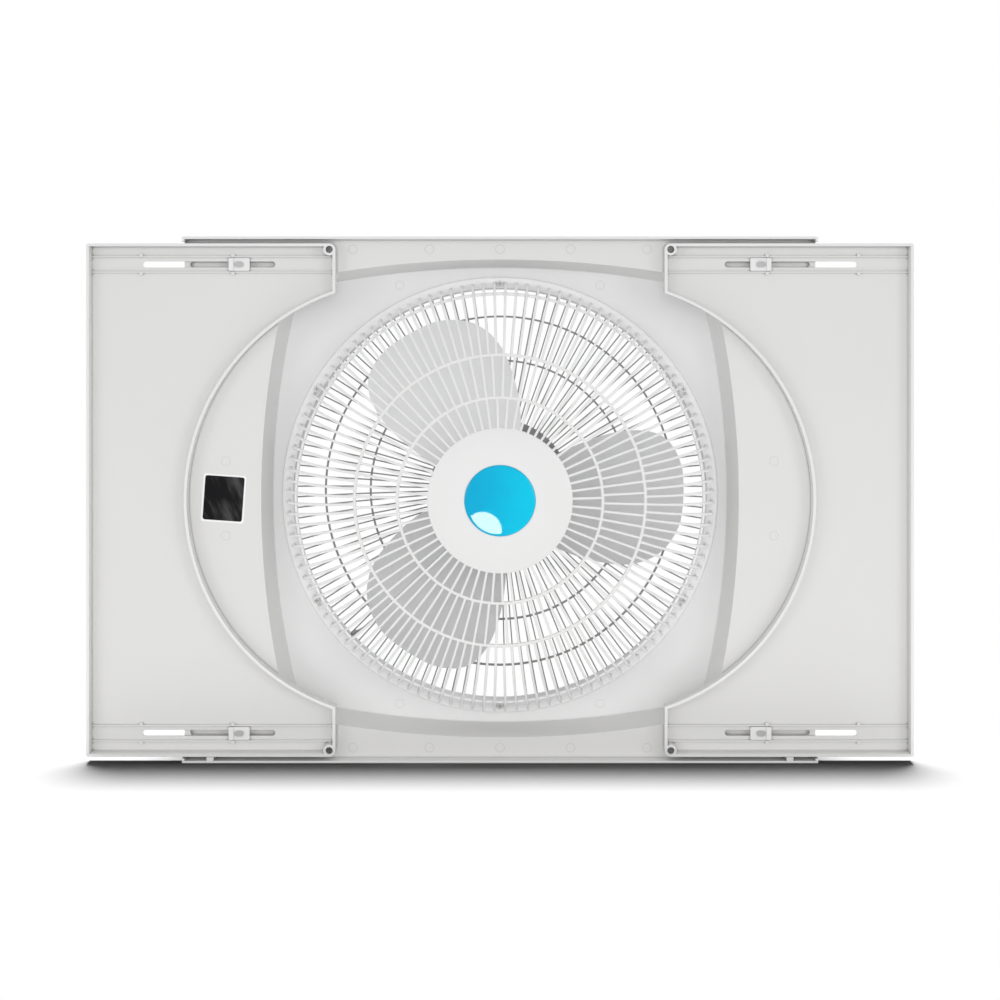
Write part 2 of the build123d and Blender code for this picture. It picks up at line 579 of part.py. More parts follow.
def make_front_grille():
    """The shallow dome of fine ribs on the room side."""
    foot = FRONT_OPENING_RADIUS - TONGUE_THICKNESS
    edge = FRONT_OPENING_RADIUS + BASE_RING_WIDTH
    half_ring = RING_WIDTH / 2
    outer = [(radius, FRONT_RING_Y + rise) for radius, rise in zip(FRONT_RING_RADII, FRONT_RING_RISES)]
    inner = [(radius, y - RIB_DEPTH) for radius, y in outer]
    top_y = FRONT_RING_Y + FRONT_DOME_RISE
    grille = turned([
        (0, top_y - HUB_THICKNESS), (FRONT_HUB_RADIUS, top_y - RIB_DEPTH), *inner,
        (foot - RIB_DEPTH, FRONT_FACE_Y), (edge, FRONT_FACE_Y), (edge, FRONT_RING_Y), (foot, FRONT_RING_Y),
        *reversed(outer), (FRONT_HUB_RADIUS, top_y), (0, top_y + FRONT_HUB_CROWN),
    ])
    limits = [FRONT_HUB_RADIUS, *FRONT_RING_RADII, foot - RIB_DEPTH]
    cuts = []
    for index in range(len(limits) - 1):
        inside = limits[index] + (half_ring if index else 0)
        outside = limits[index + 1] - half_ring
        cuts += windows(inside, outside, FRONT_RIB_COUNT, FRONT_RIB_START, FRONT_RIB_WIDTH, FRONT_FACE_Y,
                        top_y + FRONT_HUB_CROWN)
    for x, z in front_screw_places():
        cuts.append(rod(x, z, SCREW_SHANK_RADIUS + HOLE_CLEARANCE, FRONT_FACE_Y, FRONT_RING_Y))
    return grille - cuts


def panel_outline():
    """The left panel's outline: a tall rectangle with a round cut-out for the grille."""
    height = PANEL_HIGH_Z - PANEL_LOW_Z
    outline = Pos(-(PANEL_OUTER_X + PANEL_INNER_X) / 2, FAN_Z) * Rectangle(PANEL_WIDTH, height)
    outline -= Pos(-CUTOUT_CENTRE_X, FAN_Z) * Circle(CUTOUT_RADIUS)
    rows = outline.vertices().group_by(Axis.Y)
    ends = rows[0] + rows[-1]
    inner = ends.group_by(Axis.X)[-1]
    outline = fillet(inner, PANEL_CORNER_RADIUS)
    outer = outline.vertices().group_by(Axis.X)[0]
    return fillet(outer, PANEL_CORNER_RADIUS / 3)


def boss_places():
    """The lock screw bosses in the inner corners of the left panel."""
    x = -(PANEL_INNER_X + PANEL_CORNER_RADIUS)
    return [(x, PANEL_LOW_Z + PANEL_CORNER_RADIUS), (x, PANEL_HIGH_Z - PANEL_CORNER_RADIUS)]


def make_panel():
    """The left side panel: a shallow tray with rim, guide slots, rails and corner bosses."""
    outline = panel_outline()
    inset = offset(outline, -PANEL_RIM, kind=Kind.INTERSECTION)
    panel = slab(outline, REAR_EDGE_Y, PANEL_FRONT_Y) - slab(inset, REAR_EDGE_Y, PANEL_REAR_Y)
    rail_low_x = -(PANEL_OUTER_X - PANEL_RIM / 2)
    rail_high_x = -(PANEL_INNER_X + PANEL_RIM / 2)
    slot_mid_x = -(PANEL_OUTER_X - SLOT_SIDE_INSET - SLOT_LENGTH / 2)
    for level in SIDES:
        slot_z = FAN_Z + level * SLOT_REACH
        slot = Pos(slot_mid_x, slot_z) * SlotOverall(SLOT_LENGTH, SLOT_WIDTH)
        panel -= slab(slot, PANEL_REAR_Y, PANEL_FRONT_Y)
        for offset_z in (-RAIL_OFFSET, RAIL_OFFSET):
            z = slot_z + offset_z
            panel += block(
                (rail_low_x, PANEL_REAR_Y - RAIL_HEIGHT, z - RAIL_WIDTH / 2),
                (rail_high_x, PANEL_REAR_Y + PANEL_THICKNESS / 2, z + RAIL_WIDTH / 2),
            )
            for nub_x in (-(CLIP_X + NUB_LEAD), -(CLIP_X + NUB_LEAD + PANEL_RETRACT)):
                nub_z = z + math.copysign(NUB_RADIUS - RAIL_WIDTH / 2, offset_z)
                nub_root_y = PANEL_FRONT_Y - PANEL_THICKNESS / 2
                panel += rod(nub_x, nub_z, NUB_RADIUS, PANEL_REAR_Y - NUB_HEIGHT, nub_root_y)
    for x, z in boss_places():
        panel += rod(x, z, PANEL_CORNER_RADIUS, REAR_EDGE_Y, PANEL_REAR_Y)
        panel -= rod(x, z, SCREW_HEAD_RADIUS + HOLE_CLEARANCE, REAR_EDGE_Y, LOCK_SEAT_Y)
        panel -= rod(x, z, SCREW_SHANK_RADIUS, LOCK_SEAT_Y, PANEL_FRONT_Y)
    return panel


def make_lock_screws():
    """The left panel's two lock screws, whose tips bear on the frame plate when tightened."""
    return [screw(x, z, LOCK_SEAT_Y, PANEL_FRONT_Y) for x, z in boss_places()]


def make_clip(side, x, z):
    """A panel clip: a small plate over the slot with a raised lip on its outer edge."""
    front_y = CLIP_REAR_Y + CLIP_THICKNESS
    plate = RectangleRounded(CLIP_WIDTH, CLIP_HEIGHT, CLIP_CORNER_RADIUS)
    clip = slab(Pos(x, z) * plate, CLIP_REAR_Y, front_y)
    lip = RectangleRounded(CLIP_LIP_WIDTH, CLIP_HEIGHT, CLIP_CORNER_RADIUS)
    lip_x = x + side * (CLIP_WIDTH - CLIP_LIP_WIDTH) / 2
    clip += slab(Pos(lip_x, z) * lip, CLIP_REAR_Y - CLIP_LIP_RISE, front_y)
    return clip - rod(x, z, SCREW_SHANK_RADIUS, CLIP_REAR_Y, front_y)


def make_clip_rivet(x, z):
    """The oblong headed rivet that holds a clip on its stud."""
    head = slab(Pos(x, z) * SlotOverall(RIVET_LENGTH, RIVET_WIDTH), CLIP_REAR_Y - RIVET_HEIGHT, CLIP_REAR_Y)
    return head + rod(x, z, SCREW_SHANK_RADIUS - SEAT_FIT, CLIP_REAR_Y, PARTING_Y)


def make_badge():
    """The plain domed badge in the middle of the rear hub."""
    crown = HUB_Y - BADGE_RISE
    edge_y = HUB_Y - BADGE_EDGE
    dome = ThreePointArc((-BADGE_RADIUS, edge_y), (0, crown), (BADGE_RADIUS, edge_y)).trim(0.5, 1.0)
    side = Polyline((BADGE_RADIUS, edge_y), (BADGE_RADIUS, BADGE_SEAT_Y), (0, BADGE_SEAT_Y), (0, crown))
    radial = Plane(origin=(0, 0, FAN_Z), x_dir=(1, 0, 0), z_dir=(0, 0, 1))
    return revolve(radial * make_face([dome] + side.edges()), axis=Axis((0, 0, FAN_Z), (0, 1, 0)))


def make_label():
    """The blank black label on the frame plate."""
    x = -(HALF_WIDTH - LABEL_SIDE_INSET)
    outline = RectangleRounded(LABEL_WIDTH, LABEL_HEIGHT, LABEL_CORNER_RADIUS)
    placed = Pos(x, FAN_Z) * Rot(0, 0, LABEL_TURN) * outline
    return slab(placed, PLATE_Y - LABEL_THICKNESS, PLATE_Y)


def bolt_holes(y_rear, y_front):
    """Through holes for the motor's three long bolts."""
    return [rod(x, z, MOTOR_BOLT_HOLE, y_rear, y_front) for x, z in motor_bolt_places()]


def make_rear_bell():
    """The motor's outdoor end bell, screwed to the grille hub."""
    inner = MOTOR_RADIUS - BELL_WALL
    plate_y = MOTOR_SEAT_Y + BELL_WALL
    boss_y = REAR_BEARING_Y + BEARING_LENGTH
    pocket = BEARING_RADIUS + SEAT_FIT
    bell = turned([
        (0, MOTOR_SEAT_Y),
        (MOTOR_RADIUS, MOTOR_SEAT_Y),
        (MOTOR_RADIUS, STACK_Y),
        (inner, STACK_Y),
        (inner, plate_y),
        (BEARING_BOSS_RADIUS, plate_y),
        (BEARING_BOSS_RADIUS, boss_y),
        (pocket, boss_y),
        (pocket, REAR_BEARING_Y),
        (0, REAR_BEARING_Y),
    ])
    floor_y = MOTOR_SEAT_Y + BELL_WALL / 2
    for x, z in motor_bolt_places():
        bell += rod(x, z, SCREW_BOSS_RADIUS - AIR_GAP, floor_y, STACK_Y)
    bell -= bolt_holes(MOTOR_SEAT_Y + 2 * BELL_WALL, STACK_Y)
    for x, z in motor_screw_places():
        bell += rod(x, z, SCREW_BOSS_RADIUS - AIR_GAP, floor_y, MOTOR_SCREW_TIP_Y)
        bell -= rod(x, z, SCREW_SHANK_RADIUS, MOTOR_SEAT_Y, MOTOR_SCREW_TIP_Y)
    port = Box(4 * BELL_WALL, LEAD_DEPTH + HOLE_CLEARANCE, LEAD_WIDTH + HOLE_CLEARANCE)
    return bell - towards_control(Pos(MOTOR_RADIUS - BELL_WALL / 2, LEAD_START_Y, 0) * port)


def make_front_bell():
    """The motor's room side end bell with the nose that carries the front bearing."""
    inner = MOTOR_RADIUS - BELL_WALL
    plate_y = MOTOR_END_Y - BELL_WALL
    bearing_end_y = FRONT_BEARING_Y + BEARING_LENGTH
    nose_y = bearing_end_y + BELL_WALL / 2
    pocket = BEARING_RADIUS + SEAT_FIT
    passage = SHAFT_RADIUS + BELL_WALL / 2
    bell = turned([
        (passage, nose_y),
        (BEARING_BOSS_RADIUS, nose_y),
        (BEARING_BOSS_RADIUS, MOTOR_END_Y),
        (MOTOR_RADIUS - BELL_EDGE, MOTOR_END_Y),
        (MOTOR_RADIUS, MOTOR_END_Y - BELL_EDGE),
        (MOTOR_RADIUS, STACK_END_Y),
        (inner, STACK_END_Y),
        (inner, plate_y),
        (BEARING_BOSS_RADIUS, plate_y),
        (BEARING_BOSS_RADIUS, FRONT_BEARING_Y),
        (pocket, FRONT_BEARING_Y),
        (pocket, bearing_end_y),
        (passage, bearing_end_y),
    ])
    for x, z in motor_bolt_places():
        bell += rod(x, z, SCREW_BOSS_RADIUS - AIR_GAP, STACK_END_Y, MOTOR_END_Y)
    return bell - bolt_holes(STACK_END_Y, MOTOR_END_Y)


def make_stator():
    """The ring of laminations clamped between the bells."""
    core = ring(ROTOR_RADIUS + AIR_GAP, MOTOR_RADIUS, STACK_Y, STACK_END_Y)
    return core - bolt_holes(STACK_Y, STACK_END_Y)


def make_windings():
    """The end turns of the stator winding, one ring at each end of the stack."""
    rings = []
    for seat_y, reach in zip((STACK_Y, STACK_END_Y), COIL_REACHES):
        top_y = seat_y + reach
        shy_y = top_y - math.copysign(COIL_BEVEL, reach)
        rings.append(turned([
            (COIL_INNER, seat_y),
            (COIL_OUTER, seat_y),
            (COIL_OUTER, shy_y),
            (COIL_OUTER - COIL_BEVEL, top_y),
            (COIL_INNER + COIL_BEVEL, top_y),
            (COIL_INNER, shy_y),
        ]))
    return rings


def make_shaft():
    """The motor shaft, cross drilled for the drive pin."""
    shaft = rod(0, FAN_Z, SHAFT_RADIUS, SHAFT_REAR_Y, SHAFT_FRONT_Y)
    hole = Cylinder(DRIVE_PIN_RADIUS + SEAT_FIT, 4 * SHAFT_RADIUS)
    return shaft - Pos(0, PIN_Y, FAN_Z) * Rot(0, 90, 0) * hole


def make_rotor():
    """The squirrel cage rotor pressed on the shaft."""
    bore = SHAFT_RADIUS + SEAT_FIT
    cage = ROTOR_RADIUS - 2 * AIR_GAP
    inside = cage - ROTOR_RING_WIDTH
    core = ring(bore, ROTOR_RADIUS, STACK_Y, STACK_END_Y)
    return core + ring(inside, cage, STACK_Y - ROTOR_RING_REACH, STACK_END_Y + ROTOR_RING_REACH)


def make_spacers():
    """The spacer sleeves that set the rotor between its two bearings."""
    bore = SHAFT_RADIUS + SEAT_FIT
    outer = (SHAFT_RADIUS + BEARING_RADIUS) / 2
    rear_end = REAR_BEARING_Y + BEARING_LENGTH + BEARING_END_PLAY
    front_end = FRONT_BEARING_Y - BEARING_END_PLAY
    return [ring(bore, outer, rear_end, STACK_Y), ring(bore, outer, STACK_END_Y, front_end)]


def blade_outline():
    """One blade seen along the fan axis: a broad petal, widest near its root."""
    leading = []
    trailing = []
    for share, half_angle, lag in BLADE_STATIONS:
        for points, turn in ((leading, half_angle), (trailing, -half_angle)):
            angle = math.radians(turn - lag)
            radius = share * BLADE_RADIUS
            points.append((radius * math.cos(angle), radius * math.sin(angle)))
    edge = Spline(*leading, *reversed(trailing))
    return make_face([edge, Line(edge @ 1, edge @ 0)]) & Circle(BLADE_RADIUS)


def make_blade():
    """One blade: a twisted sheet trimmed to the petal outline, pointing along +X."""
    sections = []
    for share in BLADE_SECTIONS:
        pitch = math.radians(BLADE_ROOT_PITCH + (BLADE_TIP_PITCH - BLADE_ROOT_PITCH) * min(share, 1.0))
        origin = (share * BLADE_RADIUS, BLADE_MID_Y, FAN_Z)
        chord = Plane(origin=origin, x_dir=(0, -math.sin(pitch), math.cos(pitch)), z_dir=(1, 0, 0))
        sections.append(chord * Rectangle(2 * BLADE_RADIUS, BLADE_THICKNESS))
    sheet = loft(sections)
    reach = BLADE_RADIUS / 2
    prism = slab(Pos(0, FAN_Z) * blade_outline(), BLADE_MID_Y - reach, BLADE_MID_Y + reach)
    return sheet & prism


def make_fan_blade():
    """The three bladed propeller with a cup shaped hub and a bored boss."""
    wall = BLADE_THICKNESS
    inner = BLADE_HUB_RADIUS - wall
    web_y = BLADE_HUB_FRONT_Y - wall
    bore = SHAFT_RADIUS + SEAT_FIT
    fan = turned([
        (bore, BLADE_HUB_REAR_Y),
        (BLADE_BOSS_RADIUS, BLADE_HUB_REAR_Y),
        (BLADE_BOSS_RADIUS, web_y),
        (inner, web_y),
        (inner, BLADE_HUB_REAR_Y),
        (BLADE_HUB_RADIUS, BLADE_HUB_REAR_Y),
        (BLADE_HUB_RADIUS, BLADE_HUB_FRONT_Y - BLADE_HUB_EDGE),
        (BLADE_HUB_RADIUS - BLADE_HUB_EDGE, BLADE_HUB_FRONT_Y),
        (bore, BLADE_HUB_FRONT_Y),
    ])
    reach = BLADE_RADIUS / 2
    root = BLADE_HUB_RADIUS - wall / 2
    blade = make_blade() - rod(0, FAN_Z, root, BLADE_MID_Y - reach, BLADE_MID_Y + reach)
    for angle in spaced(BLADE_COUNT):
        fan += Pos(0, 0, FAN_Z) * Rot(0, angle, 0) * Pos(0, 0, -FAN_Z) * blade
    slot_depth = PIN_Y + DRIVE_PIN_RADIUS + SEAT_FIT - BLADE_HUB_REAR_Y
    slot = Box(2 * BLADE_BOSS_RADIUS + wall, 2 * slot_depth, 2 * (DRIVE_PIN_RADIUS + SEAT_FIT))
    return fan - Pos(0, BLADE_HUB_REAR_Y, FAN_Z) * slot


def make_drive_pin():
    """The cross pin that turns the propeller."""
    return Pos(0, PIN_Y, FAN_Z) * Rot(0, 90, 0) * Cylinder(DRIVE_PIN_RADIUS, DRIVE_PIN_LENGTH)


def make_blade_nut():
    """The capped spinner nut on the end of the shaft."""
    seat_y = BLADE_HUB_FRONT_Y + SEAT_FIT
    bore = SHAFT_RADIUS + SEAT_FIT
    blind_y = SHAFT_FRONT_Y + BEARING_END_PLAY
    cap_y = blind_y + NUT_CAP
    return turned([
        (bore, seat_y),
        (NUT_RADIUS, seat_y),
        (NUT_RADIUS, (seat_y + cap_y) / 2),
        (NUT_RADIUS - NUT_CAP, cap_y - NUT_CAP / 2),
        (NUT_RADIUS / 2, cap_y),
        (0, cap_y),
        (0, blind_y),
        (bore, blind_y),
    ])


def make_motor_lead():
    """The flat motor lead, on edge behind one rib, from the motor to the speed switch."""
    off = LEAD_DEPTH / 2 + LEAD_CLEARANCE
    under_y = CAGE_FLAT_Y + RIB_DEPTH + off
    drop = ORIFICE_RADIUS - LEAD_DEPTH
    behind_y = FLOOR_Y + WALL + ORIFICE_LIP_DEPTH - LEAD_DEPTH
    start = MOTOR_RADIUS - BELL_WALL
    finish = CONTROL_REACH - SWITCH_SIDE / 2 / abs(math.cos(math.radians(CONTROL_ANGLE))) - LEAD_CLEARANCE
    path = FilletPolyline(
        (start, LEAD_START_Y),
        (start + 2 * LEAD_BEND_RADIUS, LEAD_START_Y),
        (start + 4 * LEAD_BEND_RADIUS, under_y),
        (CAGE_CROWN_RADIUS - RIB_DEPTH / 2 - off, under_y),
        (CAGE_SHOULDER_RADIUS - RIB_DEPTH - off - BELL_WALL, CAGE_SHOULDER_Y + RIB_DEPTH / 2 + off),
        (drop, FLOOR_Y - LEAD_DEPTH),
        (drop, behind_y),
        (finish, behind_y),
        radius=LEAD_BEND_RADIUS,
    )
    radial = Plane(origin=(0, 0, FAN_Z), x_dir=(1, 0, 0), z_dir=(0, 0, 1))
    line = radial * path
    section = Plane(origin=line @ 0, x_dir=(0, 1, 0), z_dir=(1, 0, 0)) * Rectangle(LEAD_DEPTH, LEAD_WIDTH)
    return towards_control(Pos(0, 0, -FAN_Z) * sweep(section, path=line))


def make_switch():
    """The rotary speed switch, hung from the front face by its bush."""
    half = SWITCH_SIDE / 2
    bore = SWITCH_SHAFT_RADIUS + RUNNING_FIT
    low = (CONTROL_X - half, SWITCH_REAR_Y, CONTROL_Z - half)
    high = (CONTROL_X + half, FRONT_INNER_Y, CONTROL_Z + half)
    body = block(low, high)
    body = fillet(body.edges().filter_by(Axis.Y), KNOB_WALL)
    body += rod(CONTROL_X, CONTROL_Z, SWITCH_BUSH_RADIUS, FRONT_INNER_Y, SWITCH_BUSH_Y)
    tab_half_thick = DIAL_THICKNESS / 2
    tab_half_wide = LEAD_DEPTH / 2
    for step in (-1, 0, 1):
        x = CONTROL_X + step * SWITCH_TAB_STEP
        body += block(
            (x - tab_half_thick, SWITCH_REAR_Y - SWITCH_TAB_LENGTH, CONTROL_Z - tab_half_wide),
            (x + tab_half_thick, SWITCH_REAR_Y, CONTROL_Z + tab_half_wide),
        )
    return body - rod(CONTROL_X, CONTROL_Z, bore, SWITCH_REAR_Y + SWITCH_SOCKET_DEPTH, SWITCH_BUSH_Y)


def make_switch_nut():
    """The hexagon nut that clamps the switch and its dial plate to the face."""
    top_y = DIAL_Y + SWITCH_NUT_THICKNESS
    nut = slab(Pos(CONTROL_X, CONTROL_Z) * RegularPolygon(SWITCH_NUT_RADIUS, 6), DIAL_Y, top_y)
    return nut - rod(CONTROL_X, CONTROL_Z, SWITCH_BUSH_RADIUS + SEAT_FIT, DIAL_Y, top_y)


def make_dial():
    """The thin dial plate behind the knob, with a dot for off and one larger dot for each speed."""
    plate = ring(SWITCH_BUSH_RADIUS + SEAT_FIT, DIAL_RADIUS, FRONT_FACE_Y, DIAL_Y, CONTROL_X, CONTROL_Z)
    reach = DIAL_RADIUS - DIAL_DOT_INSET
    for step in range(SPEED_COUNT):
        angle = math.radians(90.0 - SPEED_STEP * (step - middle_turn()))
        x = CONTROL_X + reach * math.cos(angle)
        z = CONTROL_Z + reach * math.sin(angle)
        dot_radius = DIAL_THICKNESS * (1.0 + step / SPEED_COUNT)
        plate += rod(x, z, dot_radius, FRONT_FACE_Y + DIAL_THICKNESS / 2, DIAL_Y + SEAT_FIT)
    return plate


def middle_turn():
    """Steps from the off position to the middle of the knob's travel."""
    return (SPEED_COUNT - 1) / 2


def make_knob():
    """The speed knob: a hollow cup with a finger bar and a socket for the switch shaft."""
    socket = SWITCH_SHAFT_RADIUS + SEAT_FIT
    socket_wall = SWITCH_BUSH_RADIUS + DIAL_THICKNESS
    socket_y = SWITCH_BUSH_Y + DIAL_THICKNESS
    blind_y = SWITCH_SHAFT_Y + HOLE_CLEARANCE
    cup = KNOB_RADIUS - KNOB_WALL
    cup_y = KNOB_CAP_Y - KNOB_WALL
    knob = turned([
        (socket, socket_y),
        (socket_wall, socket_y),
        (socket_wall, cup_y),
        (cup, cup_y),
        (cup, KNOB_Y),
        (KNOB_RADIUS, KNOB_Y),
        (KNOB_RADIUS - KNOB_WALL / 2, KNOB_CAP_Y - KNOB_WALL / 2),
        (KNOB_RADIUS - KNOB_WALL, KNOB_CAP_Y),
        (0, KNOB_CAP_Y),
        (0, blind_y),
        (socket, blind_y),
    ], CONTROL_X, CONTROL_Z)
    off_turn = 90.0 + SPEED_STEP * middle_turn()
    bar = SlotOverall(2 * (KNOB_RADIUS - KNOB_WALL), KNOB_GRIP_WIDTH, rotation=off_turn)
    grip = slab(Pos(CONTROL_X, CONTROL_Z) * bar, KNOB_CAP_Y - KNOB_WALL / 2, KNOB_TOP_Y)
    return knob + fillet(grip.edges().group_by(Axis.Y)[-1], KNOB_WALL / 2)


def make_capacitor():
    """The motor's run capacitor, a potted case with a screw tab."""
    half = CAPACITOR_SIZE[0] / 2
    tab_rear_y = CAPACITOR_TAB_Y - CAPACITOR_TAB_THICKNESS
    front_y = CAPACITOR_TAB_Y + CAPACITOR_TAB_THICKNESS
    rear_y = front_y - CAPACITOR_SIZE[1]
    low = (CAPACITOR_X - half, rear_y, CAPACITOR_LOW_Z)
    high = (CAPACITOR_X + half, front_y, CAPACITOR_HIGH_Z)
    case = block(low, high)
    case = fillet(case.edges().filter_by(Axis.Y), KNOB_WALL)
    tab_half = CAPACITOR_TAB / 2
    tab_low = (CAPACITOR_X - tab_half, tab_rear_y, CAPACITOR_HIGH_Z - CAPACITOR_TAB_THICKNESS)
    tab_high = (CAPACITOR_X + tab_half, CAPACITOR_TAB_Y, CAPACITOR_HIGH_Z + CAPACITOR_TAB)
    case += block(tab_low, tab_high)
    hole = SCREW_SHANK_RADIUS + HOLE_CLEARANCE
    return case - rod(CAPACITOR_X, CAPACITOR_SCREW_Z, hole, tab_rear_y, CAPACITOR_TAB_Y)


def make_gland():
    """The bush where the mains lead enters the side wall. Its square neck keeps it from turning."""
    along_x = Rot(0, 90, 0)
    gland = along_x * Cylinder(GLAND_RADIUS, GLAND_LENGTH)
    gland += Pos((WALL - GLAND_LENGTH) / 2, 0, 0) * Box(WALL, 2 * GLAND_RADIUS, 2 * GLAND_RADIUS)
    head = along_x * Cylinder(GLAND_RADIUS + GLAND_FLANGE, GLAND_HEAD)
    gland += Pos(-(GLAND_LENGTH + GLAND_HEAD) / 2, 0, 0) * head
    gland -= along_x * Cylinder(GLAND_BORE_RADIUS, 3 * GLAND_LENGTH)
    return Pos(-HALF_WIDTH + GLAND_LENGTH / 2, GLAND_Y, GLAND_Z) * gland


def make_gland_nut():
    """The lock nut inside the wall that holds the gland."""
    along_x = Rot(0, 90, 0)
    outer = along_x * Cylinder(GLAND_RADIUS + GLAND_FLANGE, GLAND_NUT_THICKNESS)
    nut = outer - along_x * Cylinder(GLAND_RADIUS + SEAT_FIT, 2 * GLAND_NUT_THICKNESS)
    return Pos(-HALF_WIDTH + WALL + GLAND_NUT_THICKNESS / 2, GLAND_Y, GLAND_Z) * nut


os.makedirs("parts", exist_ok=True)
mirrored = Plane.YZ

save("rear_housing", make_rear_housing())
save("front_housing", make_front_housing())
housing_tip_y = SHELL_JOINT_Y + POST_HOLE_DEPTH - SCREW_HEAD_HEIGHT
save("housing_screws", *[screw(x, z, SCREW_SEAT_Y, housing_tip_y) for x, z in housing_screw_places()])
save("rear_grille", make_rear_grille())
grille_tip_y = FLOOR_Y + WALL + GRILLE_SCREW_GRIP
save("rear_grille_screws", *[screw(x, z, BASE_RING_Y, grille_tip_y) for x, z in grille_screw_places()])
save("front_grille", make_front_grille())
front_tip_y = FRONT_INNER_Y - FRONT_POST_DEPTH
save("front_grille_screws", *[screw(x, z, FRONT_RING_Y, front_tip_y) for x, z in front_screw_places()])
save("hub_badge", make_badge())
save("blank_label", make_label())
left_panel = make_panel()
left_screws = make_lock_screws()
save("left_panel", left_panel)
save("left_lock_screws", *left_screws)
save("right_panel", mirror(left_panel, about=mirrored))
save("right_lock_screws", *[mirror(item, about=mirrored) for item in left_screws])
save("panel_clips", *[make_clip(side, x, z) for side, x, z in clip_places()])
save("clip_rivets", *[make_clip_rivet(x, z) for side, x, z in clip_places()])
save("motor_rear_bell", make_rear_bell())
save("motor_front_bell", make_front_bell())
save("motor_bolts", *[screw(x, z, MOTOR_END_Y, MOTOR_SCREW_TIP_Y) for x, z in motor_bolt_places()])
save("motor_mount_screws", *[
    screw(x, z, MOTOR_SCREW_SEAT_Y, MOTOR_SCREW_TIP_Y) for x, z in motor_screw_places()
])
save("stator_core", make_stator())
save("stator_windings", *make_windings())
save("rotor_core", make_rotor())
save("motor_shaft", make_shaft())
save("rotor_spacers", *make_spacers())
save("rear_bearing", ring(BEARING_BORE, BEARING_RADIUS, REAR_BEARING_Y, REAR_BEARING_Y + BEARING_LENGTH))
save("front_bearing", ring(BEARING_BORE, BEARING_RADIUS, FRONT_BEARING_Y, FRONT_BEARING_Y + BEARING_LENGTH))
save("fan_blade", make_fan_blade())
save("drive_pin", make_drive_pin())
save("blade_nut", make_blade_nut())
save("motor_lead", make_motor_lead())
save("rotary_switch", make_switch())
switch_socket_y = SWITCH_REAR_Y + SWITCH_SOCKET_DEPTH + HOLE_CLEARANCE
save("switch_shaft", rod(CONTROL_X, CONTROL_Z, SWITCH_SHAFT_RADIUS, switch_socket_y, SWITCH_SHAFT_Y))
save("switch_nut", make_switch_nut())
save("dial_plate", make_dial())
save("speed_knob", make_knob())
save("capacitor", make_capacitor())
tab_seat_y = CAPACITOR_TAB_Y - CAPACITOR_TAB_THICKNESS
tab_tip_y = FRONT_INNER_Y - CAPACITOR_TAB_THICKNESS
save("capacitor_screw", screw(CAPACITOR_X, CAPACITOR_SCREW_Z, tab_seat_y, tab_tip_y))
save("cord_gland", make_gland())
save("gland_nut", make_gland_nut())
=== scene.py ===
import json
import math
import bpy
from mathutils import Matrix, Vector

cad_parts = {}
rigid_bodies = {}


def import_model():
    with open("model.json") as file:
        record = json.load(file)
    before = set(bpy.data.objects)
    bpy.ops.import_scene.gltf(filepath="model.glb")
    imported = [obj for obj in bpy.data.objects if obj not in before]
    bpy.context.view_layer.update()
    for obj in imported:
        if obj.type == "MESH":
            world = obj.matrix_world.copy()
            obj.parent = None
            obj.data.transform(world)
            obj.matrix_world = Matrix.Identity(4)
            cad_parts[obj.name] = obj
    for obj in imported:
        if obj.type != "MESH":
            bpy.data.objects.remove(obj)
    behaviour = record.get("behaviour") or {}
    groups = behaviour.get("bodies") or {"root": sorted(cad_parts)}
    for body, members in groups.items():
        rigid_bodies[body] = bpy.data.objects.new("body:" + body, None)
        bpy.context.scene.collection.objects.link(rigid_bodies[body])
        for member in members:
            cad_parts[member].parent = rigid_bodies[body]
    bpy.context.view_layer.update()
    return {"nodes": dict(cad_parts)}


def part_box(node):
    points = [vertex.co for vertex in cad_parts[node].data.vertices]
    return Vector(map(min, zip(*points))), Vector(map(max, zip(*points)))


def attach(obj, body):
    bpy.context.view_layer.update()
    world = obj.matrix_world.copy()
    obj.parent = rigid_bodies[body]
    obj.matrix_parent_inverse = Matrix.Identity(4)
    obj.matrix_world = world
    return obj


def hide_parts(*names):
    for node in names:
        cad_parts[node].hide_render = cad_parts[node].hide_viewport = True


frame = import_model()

nodes = frame["nodes"]


# Rear housing: the outdoor half of the frame, one large white moulding with channel flanges, a
# pillow-shaped recess and the round fan opening. The mould leaves a fine even grain on it.
class Wire:
    """One shader socket. Arithmetic on it adds Math nodes to its finish."""

    def __init__(self, finish, socket):
        self.finish = finish
        self.socket = socket

    def maths(self, operation, *values):
        return self.finish.add("Math", {"operation": operation}, dict(enumerate(values)))

    def __add__(self, other):
        return self.maths("ADD", self, other)

    def __sub__(self, other):
        return self.maths("SUBTRACT", self, other)

    def __rsub__(self, other):
        return self.maths("SUBTRACT", other, self)

    def __mul__(self, other):
        return self.maths("MULTIPLY", self, other)

    __radd__ = __add__


